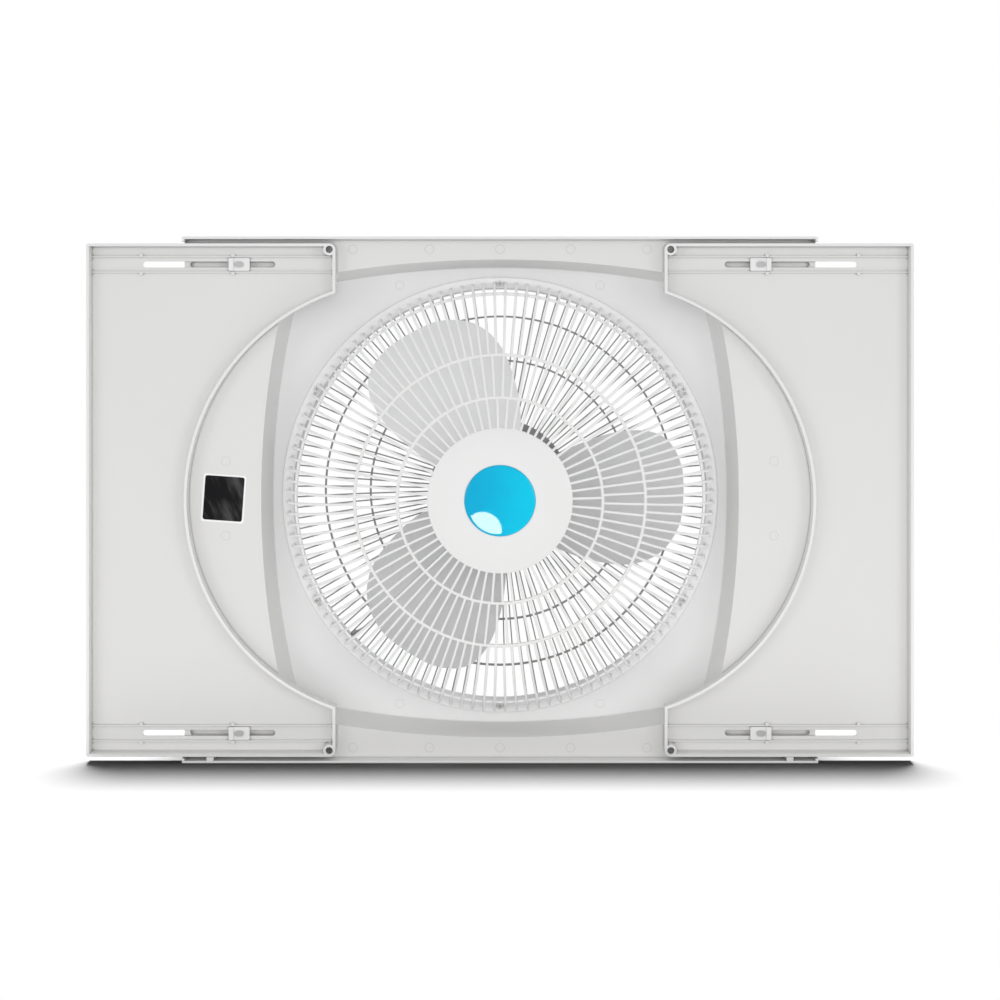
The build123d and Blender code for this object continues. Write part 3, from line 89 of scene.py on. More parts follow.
class Finish:
    """A surface finish: one material, its shader and the nodes that feed it."""

    def __init__(self, name, constants=()):
        self.material = bpy.data.materials.new(name)
        self.material.use_nodes = True
        self.tree = self.material.node_tree
        self.shader = self.tree.nodes["Principled BSDF"]
        self.set(dict(constants))

    def set(self, sockets):
        for socket, value in sockets.items():
            self.feed(self.shader.inputs[socket], value)

    def feed(self, socket, value):
        if isinstance(value, Wire):
            self.tree.links.new(value.socket, socket)
        else:
            socket.default_value = value

    def add(self, kind, settings, sockets, output=0):
        node = self.tree.nodes.new("ShaderNode" + kind)
        for name, value in settings.items():
            setattr(node, name, value)
        for name, value in sockets.items():
            self.feed(node.inputs[name], value)
        return Wire(self, node.outputs[output])

    def place(self):
        return self.add("TexCoord", {}, {}, "Object")

    def noise(self, place, scale, detail=2.0):
        return self.add("TexNoise", {}, {"Vector": place, "Scale": scale, "Detail": detail}, "Fac")

    def step(self, value, low, high):
        ramp = {"interpolation_type": "SMOOTHSTEP"}
        return self.add("MapRange", ramp, {"Value": value, "From Min": low, "From Max": high}, "Result")

    def blend(self, share, first, second):
        return self.add("Mix", {"data_type": "RGBA"}, {0: share, 6: first, 7: second}, 2)

    def bump(self, height, strength, distance):
        return self.add("Bump", {}, {"Height": height, "Strength": strength, "Distance": distance}, "Normal")


def opaque(red, green, blue):
    return (red, green, blue, 1.0)


CREASE_REACH = 0.004
CREASE_SHUT = 0.25
CREASE_OPEN = 0.8
CREASE_SHADE = 0.45
MARK_RADIUS = 0.0046
MARK_LINE = 0.0004
MARK_SHADE = 0.2
MARK_GREY = (0.3, 0.3, 0.3)
AXIS_HEIGHT = 0.263
PLASTIC_IOR = 1.49
CLOUD_SCALE = 5.0
FLECK_SCALE = 240.0
TINTED_HEIGHT = 0.5
GRAIN_BUMP = 0.35
WELD_REACH = 0.00001
FLAT_ANGLE = 0.5
SMOOTH_ANGLE = 35.0


def painted_crease_shade(finish, shade, colour, crease_shade=CREASE_SHADE):
    """Paints shade into a colour in creases, darker where ambient occlusion finds surfaces close by."""
    open_share = finish.add("AmbientOcclusion", {"samples": 8}, {"Distance": CREASE_REACH}, "AO")
    crease = 1.0 - finish.step(open_share, CREASE_SHUT, CREASE_OPEN)
    return finish.blend(crease, shade, opaque(*[channel * crease_shade for channel in colour]))


def pin_outlines(finish, place, marks):
    """Thin outlines of ejector pin marks, alike left and right of the fan axis and above and below it."""
    across = finish.add("SeparateXYZ", {}, {"Vector": place}, "X")
    above = finish.add("SeparateXYZ", {}, {"Vector": place}, "Z") - AXIS_HEIGHT
    aside = across.maths("ABSOLUTE", across)
    upright = above.maths("ABSOLUTE", above)
    folded = finish.add("CombineXYZ", {}, {"X": aside, "Z": upright})
    nearest = finish.add("Value", {}, {})
    nearest.socket.default_value = 1.0
    for mark_across, mark_above in marks:
        ends = {0: folded, 1: (mark_across, 0.0, mark_above)}
        away = finish.add("VectorMath", {"operation": "DISTANCE"}, ends, "Value")
        nearest = nearest.maths("MINIMUM", nearest, away)
    return (finish.step(nearest, MARK_RADIUS - 2 * MARK_LINE, MARK_RADIUS - MARK_LINE)
            - finish.step(nearest, MARK_RADIUS, MARK_RADIUS + MARK_LINE))


def moulded(name, colour, warm, gloss, grain_scale, grain_depth, painted_light_zones=(), marks=(),
            crease_shade=CREASE_SHADE):
    """Moulded plastic: fine grain, flow clouds, uneven gloss, painted shade in creases, painted light in
    paler zones, and pin marks.
    """
    finish = Finish(name, {"IOR": PLASTIC_IOR})
    place = finish.place()
    clouds = finish.noise(place, CLOUD_SCALE, 3.0)
    flecks = finish.noise(place, FLECK_SCALE, 2.0)
    grain = finish.noise(place, grain_scale, 1.0)
    height = finish.add("SeparateXYZ", {}, {"Vector": place}, "Z")
    low_down = 1.0 - finish.step(height, 0.0, TINTED_HEIGHT)
    tint = finish.step(clouds * 0.6 + low_down * 0.35 + flecks * 0.12, 0.25, 0.95)
    shade = finish.blend(tint, opaque(*colour), opaque(*warm))
    depth = finish.add("SeparateXYZ", {}, {"Vector": place}, "Y")
    # Paler zones by depth are painted light: the moulding is drawn lighter where light brightens it.
    for painted_light_colour, zone_start, zone_full in painted_light_zones:
        shade = finish.blend(finish.step(depth, zone_start, zone_full), shade, opaque(*painted_light_colour))
    if marks:
        shade = finish.blend(pin_outlines(finish, place, marks) * MARK_SHADE, shade, opaque(*MARK_GREY))
    # The base colour carries painted shade in creases.
    finish.set({
        "Base Color": painted_crease_shade(finish, shade, colour, crease_shade),
        "Roughness": gloss + (clouds - 0.5) * 0.12 + (flecks - 0.5) * 0.06,
        "Normal": finish.bump(grain, GRAIN_BUMP, grain_depth),
    })
    return finish


def dress(finish, *names):
    for name in names:
        nodes[name].material_slots[0].material = finish.material


def settle(piece, finish, body, slot, *names):
    """Gives a finished mesh its material and its place among the bodies."""
    piece.data.materials.clear()
    piece.data.materials.append(finish.material)
    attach(piece, body)
    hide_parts(*names)


def ease_edges(name, piece_name, radius, sharp=SMOOTH_ANGLE):
    """A copy of a moulding whose hard edges have the small radius that a mould leaves."""
    bpy.ops.object.select_all(action="DESELECT")
    piece = bpy.data.objects.new(piece_name, nodes[name].data.copy())
    bpy.context.scene.collection.objects.link(piece)
    bpy.context.view_layer.objects.active = piece
    piece.select_set(True)
    bpy.ops.mesh.customdata_custom_splitnormals_clear()
    bpy.ops.object.mode_set(mode="EDIT")
    bpy.ops.mesh.select_all(action="SELECT")
    bpy.ops.mesh.remove_doubles(threshold=WELD_REACH)
    bpy.ops.mesh.dissolve_limited(angle_limit=math.radians(FLAT_ANGLE))
    bpy.ops.object.mode_set(mode="OBJECT")
    eased = piece.modifiers.new("eased", "BEVEL")
    eased.width = radius
    eased.segments = 2
    eased.limit_method = "ANGLE"
    eased.angle_limit = math.radians(sharp)
    bpy.ops.object.modifier_apply(modifier="eased")
    bpy.ops.object.shade_smooth_by_angle(angle=math.radians(sharp))
    flats = piece.modifiers.new("flats", "WEIGHTED_NORMAL")
    flats.weight = 100
    flats.keep_sharp = True
    bpy.ops.object.modifier_apply(modifier="flats")
    return piece


FRAME_WHITE = (0.775, 0.775, 0.77)
FRAME_WARM = (0.745, 0.74, 0.725)
# The rim and recess floor zones are painted light, paler than the rest of the moulding.
RIM_PAINTED_LIGHT = ((0.83, 0.83, 0.825), -0.037, -0.0455)
RECESS_FLOOR_PAINTED_LIGHT = ((0.86, 0.86, 0.86), 0.0125, 0.0147)
PIN_MARKS = ((0.0, 0.251), (0.071, 0.251), (0.148, 0.251), (0.103, 0.215), (0.276, 0.0375))
MOULD_RADIUS = 0.0004
outdoor_white = moulded("moulded_outdoor_white", FRAME_WHITE, FRAME_WARM, 0.44, 2600.0, 0.00004,
                        (RIM_PAINTED_LIGHT, RECESS_FLOOR_PAINTED_LIGHT), PIN_MARKS)
outdoor_shell = ease_edges("rear_housing", "outdoor_shell", MOULD_RADIUS)
settle(outdoor_shell, outdoor_white, "housing", "housing_white", "rear_housing")

# Motor: a small induction motor in two die-cast bells, held together by three long bolts. The
# stamped iron stack shows between the bells, and varnished copper lies inside them.
CAST_GREY = (0.55, 0.56, 0.57)
CAST_DARK = (0.42, 0.43, 0.44)
TARNISH_SCALE = 70.0
TOOL_BUMP = 0.3
TOOL_DEPTH = 0.00004


def metal(name, colour, dark, gloss, grain_scale, metallic=1.0):
    """Bare or plated metal with cloudy tarnish and a fine tooled grain."""
    finish = Finish(name, {"Metallic": metallic})
    place = finish.place()
    tarnish = finish.noise(place, TARNISH_SCALE, 4.0)
    grain = finish.noise(place, grain_scale, 2.0)
    shade = finish.blend(finish.step(tarnish, 0.35, 0.75), opaque(*colour), opaque(*dark))
    # The base colour carries painted shade in creases.
    finish.set({
        "Base Color": painted_crease_shade(finish, shade, dark),
        "Roughness": gloss + (tarnish - 0.5) * 0.2 + (grain - 0.5) * 0.1,
        "Normal": finish.bump(grain, TOOL_BUMP, TOOL_DEPTH),
    })
    return finish


cast_alloy = metal("die_cast_alloy", CAST_GREY, CAST_DARK, 0.45, 1400.0)
dress(cast_alloy, "motor_rear_bell", "motor_front_bell")

stack_iron = Finish("stamped_iron_stack", {"Metallic": 0.8})
stack_place = stack_iron.place()
layers = stack_iron.add("TexWave", {"bands_direction": "Y"}, {"Vector": stack_place, "Scale": 320.0}, "Fac")
rust = stack_iron.noise(stack_place, 120.0, 4.0)
stack_iron.set({
    "Base Color": stack_iron.blend(rust, opaque(0.2, 0.2, 0.21), opaque(0.12, 0.1, 0.09)),
    "Roughness": 0.5 + rust * 0.2,
    "Normal": stack_iron.bump(layers, 0.5, 0.0002),
})
dress(stack_iron, "stator_core", "rotor_core")

copper_wire = Finish("varnished_copper_wire", {"Metallic": 0.7})
wire_place = copper_wire.place()
turns = copper_wire.add("TexWave", {"wave_type": "RINGS", "rings_direction": "Y"},
                        {"Vector": wire_place, "Scale": 260.0, "Distortion": 3.0}, "Fac")
copper_wire.set({
    "Base Color": copper_wire.blend(turns, opaque(0.32, 0.12, 0.05), opaque(0.62, 0.28, 0.13)),
    "Roughness": 0.3 + turns * 0.15,
    "Normal": copper_wire.bump(turns, 0.6, 0.0004),
})
dress(copper_wire, "stator_windings")

ground_steel = metal("ground_steel", (0.62, 0.62, 0.62), (0.45, 0.45, 0.46), 0.28, 900.0)
dress(ground_steel, "motor_shaft", "rotor_spacers", "drive_pin")
bush_bronze = metal("sintered_bronze", (0.5, 0.33, 0.15), (0.34, 0.22, 0.1), 0.4, 2000.0)
dress(bush_bronze, "rear_bearing", "front_bearing")
screw_zinc = metal("plated_screw_zinc", (0.6, 0.6, 0.59), (0.4, 0.4, 0.4), 0.32, 1200.0)
dress(screw_zinc, "motor_bolts", "motor_mount_screws")

# Propeller: three broad paddle blades and a cup hub in one pale grey moulding, turned by a cross
# pin through the shaft and held by a capped nut. The blades' thin edges are rounded.
BLADE_GREY = (0.745, 0.747, 0.75)
BLADE_SHADE = (0.71, 0.712, 0.717)
BLADE_EDGE_RADIUS = 0.0007
BLADE_EDGE_ANGLE = 50.0
blade_grey = moulded("moulded_blade_grey", BLADE_GREY, BLADE_SHADE, 0.38, 2200.0, 0.00003)
propeller = ease_edges("fan_blade", "propeller", BLADE_EDGE_RADIUS, BLADE_EDGE_ANGLE)
settle(propeller, blade_grey, "fan", "blade_grey", "fan_blade")
dress(blade_grey, "blade_nut")

# Rear grille: a white moulded cage of radial ribs in three zones between a hub disc, two rings and
# a base ring. The outer ribs bend over the rim and run down to the base ring as free fingers.
MM = 0.001
SEAM_REACH = 0.000002
FULL_TURN = 2.0 * math.pi
HUB_STEPS = 144
RING_STEPS = 180
RIM_STEPS = 240
AXIS = Vector((0.0, 0.0, AXIS_HEIGHT))
DEPTHWISE = Vector((0.0, 1.0, 0.0))


def around(angle, radius, depth):
    """A point at an angle and a distance from the fan axis and at a depth, both in millimetres."""
    return AXIS + Vector((radius * math.cos(angle), depth, radius * math.sin(angle))) * MM


def begin(name):
    """Starts a piece as a small plane in edit mode, cleared for the points to come."""
    bpy.ops.object.select_all(action="DESELECT")
    bpy.ops.mesh.primitive_plane_add(size=MM)
    piece = bpy.context.active_object
    piece.name = name
    bpy.ops.object.mode_set(mode="EDIT")
    bpy.ops.mesh.delete(type="VERT")
    return piece


def dot(place):
    """A lone point, selected, made by closing up a small plane."""
    bpy.ops.mesh.select_all(action="DESELECT")
    bpy.ops.mesh.primitive_plane_add(size=MM, location=place)
    bpy.ops.mesh.merge(type="CENTER")


def draw(places):
    """Draws a line of edges through some places and selects all of it."""
    dot(places[0])
    for first, second in zip(places, places[1:]):
        bpy.ops.mesh.extrude_region_move(TRANSFORM_OT_translate={"value": second - first})
    bpy.ops.mesh.select_linked()


def turn(outline, steps):
    """Spins an outline of radius and depth round the fan axis. It is closed unless it ends on the axis."""
    places = [around(0.0, radius, depth) for radius, depth in outline]
    if outline[0][0] > 0.0:
        places.append(places[0])
    draw(places)
    bpy.ops.mesh.spin(steps=steps, angle=-FULL_TURN, center=AXIS, axis=DEPTHWISE)


def repeat(count):
    """Copies the selected rib round the fan axis."""
    bpy.ops.mesh.select_linked()
    share = (count - 1) / count
    bpy.ops.mesh.spin(steps=count - 1, dupli=True, angle=FULL_TURN * share, center=AXIS, axis=DEPTHWISE)


def start_rib(angle, radius, depth, section):
    """A rib's closed section, across the line that leaves the axis at an angle."""
    side = Vector((-math.sin(angle), 0.0, math.cos(angle)))
    root = around(angle, radius, depth)
    draw([root + (side * across + DEPTHWISE * deep) * MM for across, deep in section])
    bpy.ops.mesh.edge_face_add()


def stretch(angle, outward, deeper):
    """Carries the selected section on, outward and deeper by some millimetres."""
    move = around(angle, outward, deeper) - AXIS
    bpy.ops.mesh.extrude_region_move(TRANSFORM_OT_translate={"value": move})


def close_piece():
    """Joins the seams of a modelled mesh, turns its faces outward and leaves edit mode."""
    bpy.ops.mesh.select_all(action="SELECT")
    bpy.ops.mesh.remove_doubles(threshold=SEAM_REACH)
    bpy.ops.mesh.normals_make_consistent(inside=False)
    bpy.ops.object.mode_set(mode="OBJECT")
    bpy.ops.object.shade_smooth_by_angle(angle=math.radians(SMOOTH_ANGLE))


GRILLE_WHITE = (0.84, 0.84, 0.838)
GRILLE_WARM = (0.8, 0.795, 0.785)
# The bent part of the ribs is painted paler: painted light on the bend.
GRILLE_BEND_PAINTED_LIGHT = ((0.95, 0.95, 0.95), -0.0475, -0.037)
GRILLE_CREASE_SHADE = 0.85
grille_white = moulded("moulded_grille_white", GRILLE_WHITE, GRILLE_WARM, 0.36, 2200.0, 0.00002,
                       (GRILLE_BEND_PAINTED_LIGHT,), crease_shade=GRILLE_CREASE_SHADE)

HUB_EDGE = 72.5
HUB_EDGE_DEPTH = -52.5
CAGE_SLOPE = 2.5 / 101.5
HUB_OUTLINE = (
    (0.0, -51.8), (35.5, -51.8), (35.5, -52.7), (35.9, -53.0), (69.8, -53.0), (70.4, -52.75),
    (71.6, -52.75), (72.3, -52.3), (72.5, -51.5), (72.5, -49.4), (72.1, -49.0), (70.5, -49.0),
    (70.5, -49.5), (42.0, -49.5), (42.0, -46.0), (0.0, -46.0),
)
RING_SECTION = ((-1.5, 3.8), (-1.5, 0.6), (-1.0, 0.05), (0.0, -0.15), (1.0, 0.05), (1.5, 0.6), (1.5, 3.8))
RING_RADII = (102.5, 145.0)
CAGE_RING_OUTLINE = (
    (204.6, -18.6), (204.6, -24.4), (205.2, -25.2), (206.2, -25.2),
    (207.2, -24.3), (207.6, -23.2), (207.6, -16.0),
)
BASE_OUTLINE = ((212.2, 15.0), (212.2, 12.9), (212.7, 12.5), (222.6, 12.5), (223.4, 13.3), (223.4, 15.0))
RIB_SECTION = ((-1.1, 4.0), (-1.25, 0.7), (-0.95, 0.12), (0.0, 0.0), (0.95, 0.12), (1.25, 0.7), (1.1, 4.0))
RIB_ZONES = ((60, 1.5, 71.5, 102.5), (80, 3.0, 102.5, 145.0), (120, 1.5, 145.0, 160.0))
BEND_RADIUS = 60.0
BEND_ANGLE = math.radians(42.6)
BEND_STEPS = 6
FINGER_PATH = ((15.0, 15.0), (2.0, 5.5), (1.2, 25.5))


def cage_depth(radius):
    """How deep the cage's flat crown lies at a radius."""
    return HUB_EDGE_DEPTH + (radius - HUB_EDGE) * CAGE_SLOPE


cage = begin("outdoor_cage")
turn(HUB_OUTLINE, HUB_STEPS)
for ring_radius in RING_RADII:
    crown = cage_depth(ring_radius)
    turn([(ring_radius + across, crown + deep) for across, deep in RING_SECTION], RING_STEPS)
turn(CAGE_RING_OUTLINE, RIM_STEPS)
turn(BASE_OUTLINE, RIM_STEPS)
for count, start, inner, outer in RIB_ZONES:
    lean = math.radians(start)
    start_rib(lean, inner, cage_depth(inner), RIB_SECTION)
    stretch(lean, outer - inner, (outer - inner) * CAGE_SLOPE)
    if outer > RING_RADII[-1]:
        pivot = around(lean, outer - BEND_RADIUS * CAGE_SLOPE, cage_depth(outer) + BEND_RADIUS)
        hinge = Vector((-math.sin(lean), 0.0, math.cos(lean)))
        bpy.ops.mesh.spin(steps=BEND_STEPS, angle=-BEND_ANGLE, center=pivot, axis=hinge)
        for outward, deeper in FINGER_PATH:
            stretch(lean, outward, deeper)
    repeat(count)
close_piece()
settle(cage, grille_white, "housing", "grille_white", "rear_grille")

# Badge: a plain blue disc under a clear poured dome, set in a pocket in the hub disc.
# Its blue is a little lighter towards its right, in soft clouds.
BADGE_DEEP = (0.0, 0.42, 0.7)
BADGE_PALE = (0.0, 0.6, 0.85)
BADGE_CROWN = -56.4
BADGE_BOW = 224.0
BADGE_STATIONS = 14
BADGE_STEP = 34.6 / BADGE_STATIONS
BADGE_STEPS = 128
BADGE_EDGE = ((35.1, -53.45), (35.3, -53.1), (35.3, -51.8), (0.0, -51.8))

badge = begin("dome_badge")
bow = [(k * BADGE_STEP, BADGE_CROWN + BADGE_BOW - math.sqrt(BADGE_BOW ** 2 - (k * BADGE_STEP) ** 2))
       for k in range(BADGE_STATIONS + 1)]
turn([*bow, *BADGE_EDGE], BADGE_STEPS)
close_piece()
badge_blue = Finish("poured_dome_blue", {
    "Roughness": 0.5,
    "Specular IOR Level": 0.0,
    "Coat Weight": 1.0,
    "Coat Roughness": 0.04,
    "Coat IOR": 1.25,
})
badge_place = badge_blue.place()
badge_across = badge_blue.add("SeparateXYZ", {}, {"Vector": badge_place}, "X")
badge_cloud = badge_blue.noise(badge_place, 30.0, 3.0)
badge_light = badge_blue.step(badge_across * 9.0 + badge_cloud * 0.4, -0.2, 0.6)
badge_blue.set({"Base Color": badge_blue.blend(badge_light, opaque(*BADGE_DEEP), opaque(*BADGE_PALE))})
settle(badge, badge_blue, "housing", "badge_blue", "hub_badge")

# Screws: zinc plated pan heads with a cross recess that hold the grilles and the two shells.
# Those of the rear grille have a brighter, duller-ground plating.
dress(screw_zinc, "housing_screws", "front_grille_screws", "capacitor_screw")
bright_zinc = metal("bright_screw_zinc", (0.86, 0.86, 0.85), (0.66, 0.66, 0.65), 0.45, 1200.0, 0.35)
dress(bright_zinc, "rear_grille_screws")

# Front housing and front grille: the room half of the frame, screwed to the outdoor half, and its
# shallow dome of fine grey ribs between a hub, two rings and a flat base ring.
frame_white = moulded("moulded_frame_white", FRAME_WHITE, FRAME_WARM, 0.44, 2600.0, 0.00004, (RIM_PAINTED_LIGHT,))
room_shell = ease_edges("front_housing", "room_shell", MOULD_RADIUS)
settle(room_shell, frame_white, "housing", "housing_white", "front_housing")

FRONT_HUB = 74.0
FRONT_FOOT = 215.0
FRONT_FLAT = 50.5
FRONT_RISE = 26.5
FRONT_BOW = 2.5
FRONT_RINGS = (136.5, 183.0)
FRONT_RING_SECTION = (
    (-1.0, 3.8), (-1.0, 0.5), (-0.6, 0.05), (0.0, -0.1), (0.6, 0.05), (1.0, 0.5), (1.0, 3.8),
)
FRONT_HUB_OUTLINE = (
    (0.0, 77.5), (27.0, 77.5), (28.5, 78.2), (31.0, 78.3), (52.0, 77.9), (68.0, 77.3), (72.0, 76.8),
    (73.6, 75.9), (74.0, 75.0), (74.0, 73.4), (73.5, 73.0), (72.0, 73.0), (72.0, 73.5), (0.0, 73.6),
)
FRONT_BASE_OUTLINE = (
    (214.5, 48.0), (214.5, 50.1), (215.0, 50.5), (227.5, 50.5), (228.4, 49.6), (228.4, 48.0),
)
FINE_SECTION = ((-0.6, -4.0), (-0.65, -0.6), (-0.4, -0.1), (0.4, -0.1), (0.65, -0.6), (0.6, -4.0))
FINE_STATIONS = (73.0, 95.0, 116.0, 136.5, 153.0, 169.0, 183.0, 194.0, 204.0, 211.0, 215.2)
FINE_COUNT = 120
FINE_START = math.radians(1.5)


def dome_depth(radius):
    """How far the front dome stands towards the room at a radius."""
    share = max(radius - FRONT_HUB, 0.0) / (FRONT_FOOT - FRONT_HUB)
    return FRONT_FLAT + FRONT_RISE * (1.0 - share ** FRONT_BOW)


dome = begin("room_grille")
turn(FRONT_HUB_OUTLINE, HUB_STEPS)
for ring_radius in FRONT_RINGS:
    crown = dome_depth(ring_radius)
    turn([(ring_radius + across, crown - deep) for across, deep in FRONT_RING_SECTION], RING_STEPS)
turn(FRONT_BASE_OUTLINE, RIM_STEPS)
start_rib(FINE_START, FINE_STATIONS[0], dome_depth(FINE_STATIONS[0]), FINE_SECTION)
for inner, outer in zip(FINE_STATIONS, FINE_STATIONS[1:]):
    stretch(FINE_START, outer - inner, dome_depth(outer) - dome_depth(inner))
repeat(FINE_COUNT)
close_piece()
grille_grey = moulded("moulded_grille_grey", (0.36, 0.36, 0.362), (0.32, 0.32, 0.32), 0.42, 2200.0, 0.00002)
settle(dome, grille_grey, "housing", "grille_grey", "front_grille")

# Controls: a rotary speed switch clamped to the front face, with a grey dial film and a white
# knob. Inside are its leads, the run capacitor and the gland for the mains lead.
switch_black = moulded("switch_black", (0.03, 0.03, 0.031), (0.045, 0.045, 0.044), 0.5, 1800.0, 0.00004)
dress(switch_black, "rotary_switch", "capacitor")
dress(ground_steel, "switch_shaft", "switch_nut")
dial_grey = moulded("dial_film_grey", (0.42, 0.43, 0.45), (0.38, 0.39, 0.41), 0.3, 3000.0, 0.00002)
dress(dial_grey, "dial_plate")
knob_white = moulded("moulded_knob_white", (0.82, 0.82, 0.815), (0.78, 0.775, 0.765), 0.25, 2400.0, 0.00001)
dress(knob_white, "speed_knob")
lead_grey = moulded("lead_sheath_grey", (0.3, 0.3, 0.31), (0.24, 0.24, 0.25), 0.5, 1500.0, 0.00004)
dress(lead_grey, "motor_lead")
gland_black = moulded("gland_black", (0.05, 0.05, 0.05), (0.07, 0.07, 0.068), 0.6, 1500.0, 0.00005)
dress(gland_black, "cord_gland", "gland_nut")

# Side panels: two white trays that slide in the channels of the frame, each with a round cut-out,
# long guide slots and a lock screw in each inner corner.
for side in ("left", "right"):
    tray = ease_edges(side + "_panel", side + "_tray", MOULD_RADIUS)
    settle(tray, frame_white, side + "_side", "panel_white", side + "_panel")
lock_steel = metal("dull_lock_screw", (0.42, 0.42, 0.42), (0.2, 0.2, 0.2), 0.4, 1200.0)
dress(lock_steel, "left_lock_screws", "right_lock_screws")

# Panel clips: small glossy white plates over the slots, each riveted to a stud of the frame.
# Their raised lips ride between the rails of the panels.
clip_white = moulded("glossy_clip_white", (0.86, 0.86, 0.858), (0.83, 0.83, 0.82), 0.2, 2400.0, 0.00001)
dress(clip_white, "panel_clips")
rivet_grey = moulded("rivet_grey", (0.52, 0.52, 0.52), (0.45, 0.45, 0.45), 0.3, 2400.0, 0.00001)
dress(rivet_grey, "clip_rivets")

# Label: a blank black film stuck a little crooked on the frame plate, with a thin pale border and
# a cloudy, handled surface.
LABEL_TURN = math.radians(-4.0)
LABEL_HALF_WIDE = 0.02175
LABEL_HALF_TALL = 0.02425
LABEL_BORDER = 0.0017
LABEL_CORNER = 0.004
LABEL_FADE = 1.25
STREAK_LEAN = math.radians(-30.0)
STREAK_SIZE = (0.012, 0.012, 0.045)
LABEL_PALE = (0.95, 0.95, 0.94)
INK_DARK = (0.006, 0.006, 0.007)
INK_PALE = (0.065, 0.065, 0.067)
label_low, label_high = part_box("blank_label")
label_black = Finish("label_film_black", {"IOR": 1.5, "Specular IOR Level": 0.1})
label_place = label_black.place()
label_flat = label_black.add("Mapping", {"vector_type": "TEXTURE"}, {
    "Vector": label_place,
    "Location": (label_low + label_high) / 2,
    "Rotation": (0.0, -LABEL_TURN, 0.0),
})
label_split = label_black.add("SeparateXYZ", {}, {"Vector": label_flat}, "X")
label_rise = label_black.add("SeparateXYZ", {}, {"Vector": label_flat}, "Z")
from_side = LABEL_HALF_WIDE - label_split.maths("ABSOLUTE", label_split)
from_end = LABEL_HALF_TALL - label_rise.maths("ABSOLUTE", label_rise)
inset = from_side.maths("SMOOTH_MIN", from_side, from_end, LABEL_CORNER)
printed = label_black.step(inset, LABEL_BORDER, LABEL_BORDER * LABEL_FADE)
streak = label_black.noise(label_black.add("Mapping", {"vector_type": "TEXTURE"}, {
    "Vector": label_flat,
    "Rotation": (0.0, STREAK_LEAN, 0.0),
    "Scale": STREAK_SIZE,
}), 1.0, 5.0)
smoke = label_black.step(streak, 0.45, 0.72)
label_ink = label_black.blend(smoke, opaque(*INK_DARK), opaque(*INK_PALE))
label_black.set({
    "Base Color": label_black.blend(printed, opaque(*LABEL_PALE), label_ink),
    "Roughness": 0.3 + smoke * 0.25,
    "Normal": label_black.bump(streak, 0.2, 0.0001),
})
dress(label_black, "blank_label")

# Studio: a white backdrop, a grey floor that a lamp of its own lights to white, and soft lamps that
# leave the floor out. A small light reaches only the badge and a low one only the propeller. The
# camera is square to the outdoor side and a little above the fan's axis.
CAMERA_PLACE = (0.0, -2.053, 0.451)
CAMERA_LENS = 72.4
CAMERA_SENSOR = 36.0
CAMERA_DROP = -0.1883
SKY_LIGHT = 0.6
WHITE = (1.0, 1.0, 1.0)

world = bpy.data.worlds.new("studio")
bpy.context.scene.world = world
world.use_nodes = True
sky = world.node_tree.nodes
rays = sky.new("ShaderNodeLightPath")
seen = sky.new("ShaderNodeMath")
seen.operation = "MAXIMUM"
mirror_rays = sky.new("ShaderNodeMath")
mirror_rays.operation = "MAXIMUM"
strength = sky.new("ShaderNodeMapRange")
strength.inputs["To Min"].default_value = SKY_LIGHT
strength.inputs["To Max"].default_value = 1.0
join = world.node_tree.links.new
join(rays.outputs["Is Glossy Ray"], mirror_rays.inputs[0])
join(rays.outputs["Is Transmission Ray"], mirror_rays.inputs[1])
join(rays.outputs["Is Camera Ray"], seen.inputs[0])
join(mirror_rays.outputs[0], seen.inputs[1])
join(seen.outputs[0], strength.inputs["Value"])
sky["Background"].inputs["Color"].default_value = opaque(*WHITE)
join(strength.outputs["Result"], sky["Background"].inputs["Strength"])

FLOOR_SIZE = 8.0
FLOOR_PLACE = (0.0, 0.0, -0.0005)
FLOOR_SHIFT = (0.0, 0.12, 0.0)
FLOOR_STRETCH = (0.55, 1.0, 1.0)
FLOOR_DARK = (0.12, 0.12, 0.12)
FLOOR_PALE = (0.13, 0.13, 0.13)
FLOOR_FAR = (0.05, 0.05, 0.05)
bpy.ops.mesh.primitive_plane_add(size=FLOOR_SIZE, location=FLOOR_PLACE)
floor = bpy.context.active_object
floor.name = "studio_floor"
floor_paint = Finish("studio_floor_paint", {"Roughness": 0.9, "Specular IOR Level": 0.0})
floor_place = floor_paint.place()
floor_oval = floor_paint.add("Mapping", {}, {
    "Vector": floor_place,
    "Location": FLOOR_SHIFT,
    "Scale": FLOOR_STRETCH,
})
floor_far = floor_paint.add("VectorMath", {"operation": "LENGTH"}, {0: floor_oval}, "Value")
floor_cloud = floor_paint.noise(floor_place, 4.0)
floor_grey = floor_paint.blend(floor_cloud, opaque(*FLOOR_DARK), opaque(*FLOOR_PALE))
floor_edge = floor_paint.step(floor_far, 0.4, 0.5)
floor_paint.set({"Base Color": floor_paint.blend(floor_edge, floor_grey, opaque(*FLOOR_FAR))})
floor_light = floor_paint.add("Emission", {}, {"Color": opaque(*WHITE), "Strength": 1.0})
floor_rays = floor_paint.add("LightPath", {}, {}, "Is Camera Ray")
floor_mirrored = floor_paint.add("LightPath", {}, {}, "Is Glossy Ray")
floor_through = floor_paint.add("LightPath", {}, {}, "Is Transmission Ray")
floor_mirrored = floor_mirrored.maths("MAXIMUM", floor_mirrored, floor_through)
floor_seen = floor_rays.maths("MAXIMUM", floor_rays, floor_mirrored)
floor_white = floor_paint.step(floor_far, 0.26, 0.42) * floor_seen
floor_matt = Wire(floor_paint, floor_paint.shader.outputs[0])
floor_mix = floor_paint.add("MixShader", {}, {0: floor_white, 1: floor_matt, 2: floor_light})
floor_paint.feed(floor_paint.tree.nodes["Material Output"].inputs["Surface"], floor_mix)
floor.data.materials.append(floor_paint.material)


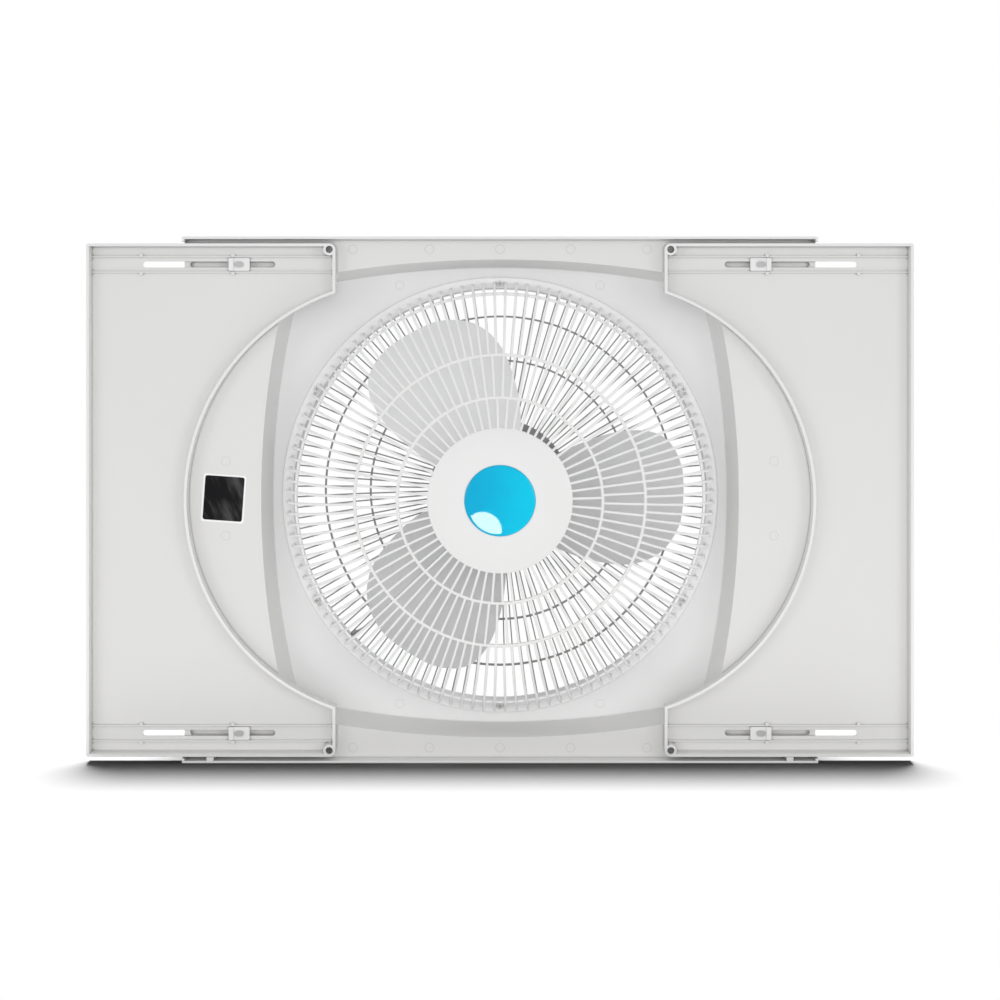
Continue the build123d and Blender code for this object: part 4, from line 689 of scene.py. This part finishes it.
def hang(name, kind, place, aim, energy):
    """A lamp that looks from its place at a point."""
    lamp = bpy.data.lights.new(name, kind)
    lamp.energy = energy
    holder = bpy.data.objects.new(name, lamp)
    bpy.context.scene.collection.objects.link(holder)
    holder.location = place
    holder.rotation_euler = (Vector(aim) - Vector(place)).to_track_quat("-Z", "Y").to_euler()
    holder.visible_camera = False
    return holder


def light_only(holder, receiver, state):
    """Makes a lamp light one object alone, or every object but that one."""
    chosen = bpy.data.collections.new(holder.name + "_choice")
    chosen.objects.link(receiver)
    chosen.collection_objects[0].light_linking.link_state = state
    holder.light_linking.receiver_collection = chosen


for lamp_name, lamp_place, lamp_width, lamp_watts in (
    ("left_lamp", (-1.7, -2.3, 0.6), 1.0, 7.0),
    ("right_lamp", (1.7, -2.3, 0.6), 1.0, 8.0),
    ("front_lamp", (0.0, -2.6, 0.55), 1.0, 13.0),
    ("room_lamp", (0.8, 2.4, 1.6), 1.6, 14.0),
):
    soft_box = hang(lamp_name, "AREA", lamp_place, AXIS, lamp_watts)
    soft_box.data.size = lamp_width
    light_only(soft_box, floor, "EXCLUDE")
bpy.data.objects["front_lamp"].visible_glossy = False

CEILING_PLACE = (0.0, 0.13, 1.0)
CEILING_LIGHT = 25.0
CEILING_SPREAD = math.radians(13.0)
ceiling = hang("ceiling_lamp", "SUN", CEILING_PLACE, (0.0, 0.0, 0.0), CEILING_LIGHT)
ceiling.data.angle = CEILING_SPREAD
light_only(ceiling, floor, "INCLUDE")

GLINT_PLACE = (-0.077, -0.423, 0.091)
GLINT_AIM = (0.0, -0.07, AXIS_HEIGHT)
GLINT_WATTS = 4.0
GLINT_SIZE = 0.175
glint = hang("badge_lamp", "AREA", GLINT_PLACE, GLINT_AIM, GLINT_WATTS)
glint.data.shape = "DISK"
glint.data.size = GLINT_SIZE
glint.visible_diffuse = False
light_only(glint, badge, "INCLUDE")

LOW_PLACE = (0.85, -0.15, 0.763)
LOW_LIGHT = 1.6
LOW_SPREAD = math.radians(20.0)
low_sun = hang("blade_lamp", "SUN", LOW_PLACE, AXIS, LOW_LIGHT)
low_sun.data.angle = LOW_SPREAD
low_sun.data.use_shadow = False
light_only(low_sun, propeller, "INCLUDE")

camera = bpy.data.objects.new("camera", bpy.data.cameras.new("camera"))
bpy.context.scene.collection.objects.link(camera)
camera.location = CAMERA_PLACE
camera.rotation_euler = (math.radians(90.0), 0.0, 0.0)
camera.data.lens = CAMERA_LENS
camera.data.sensor_width = CAMERA_SENSOR
camera.data.shift_y = CAMERA_DROP
bpy.context.scene.camera = camera
bpy.context.scene.view_settings.view_transform = "Standard"
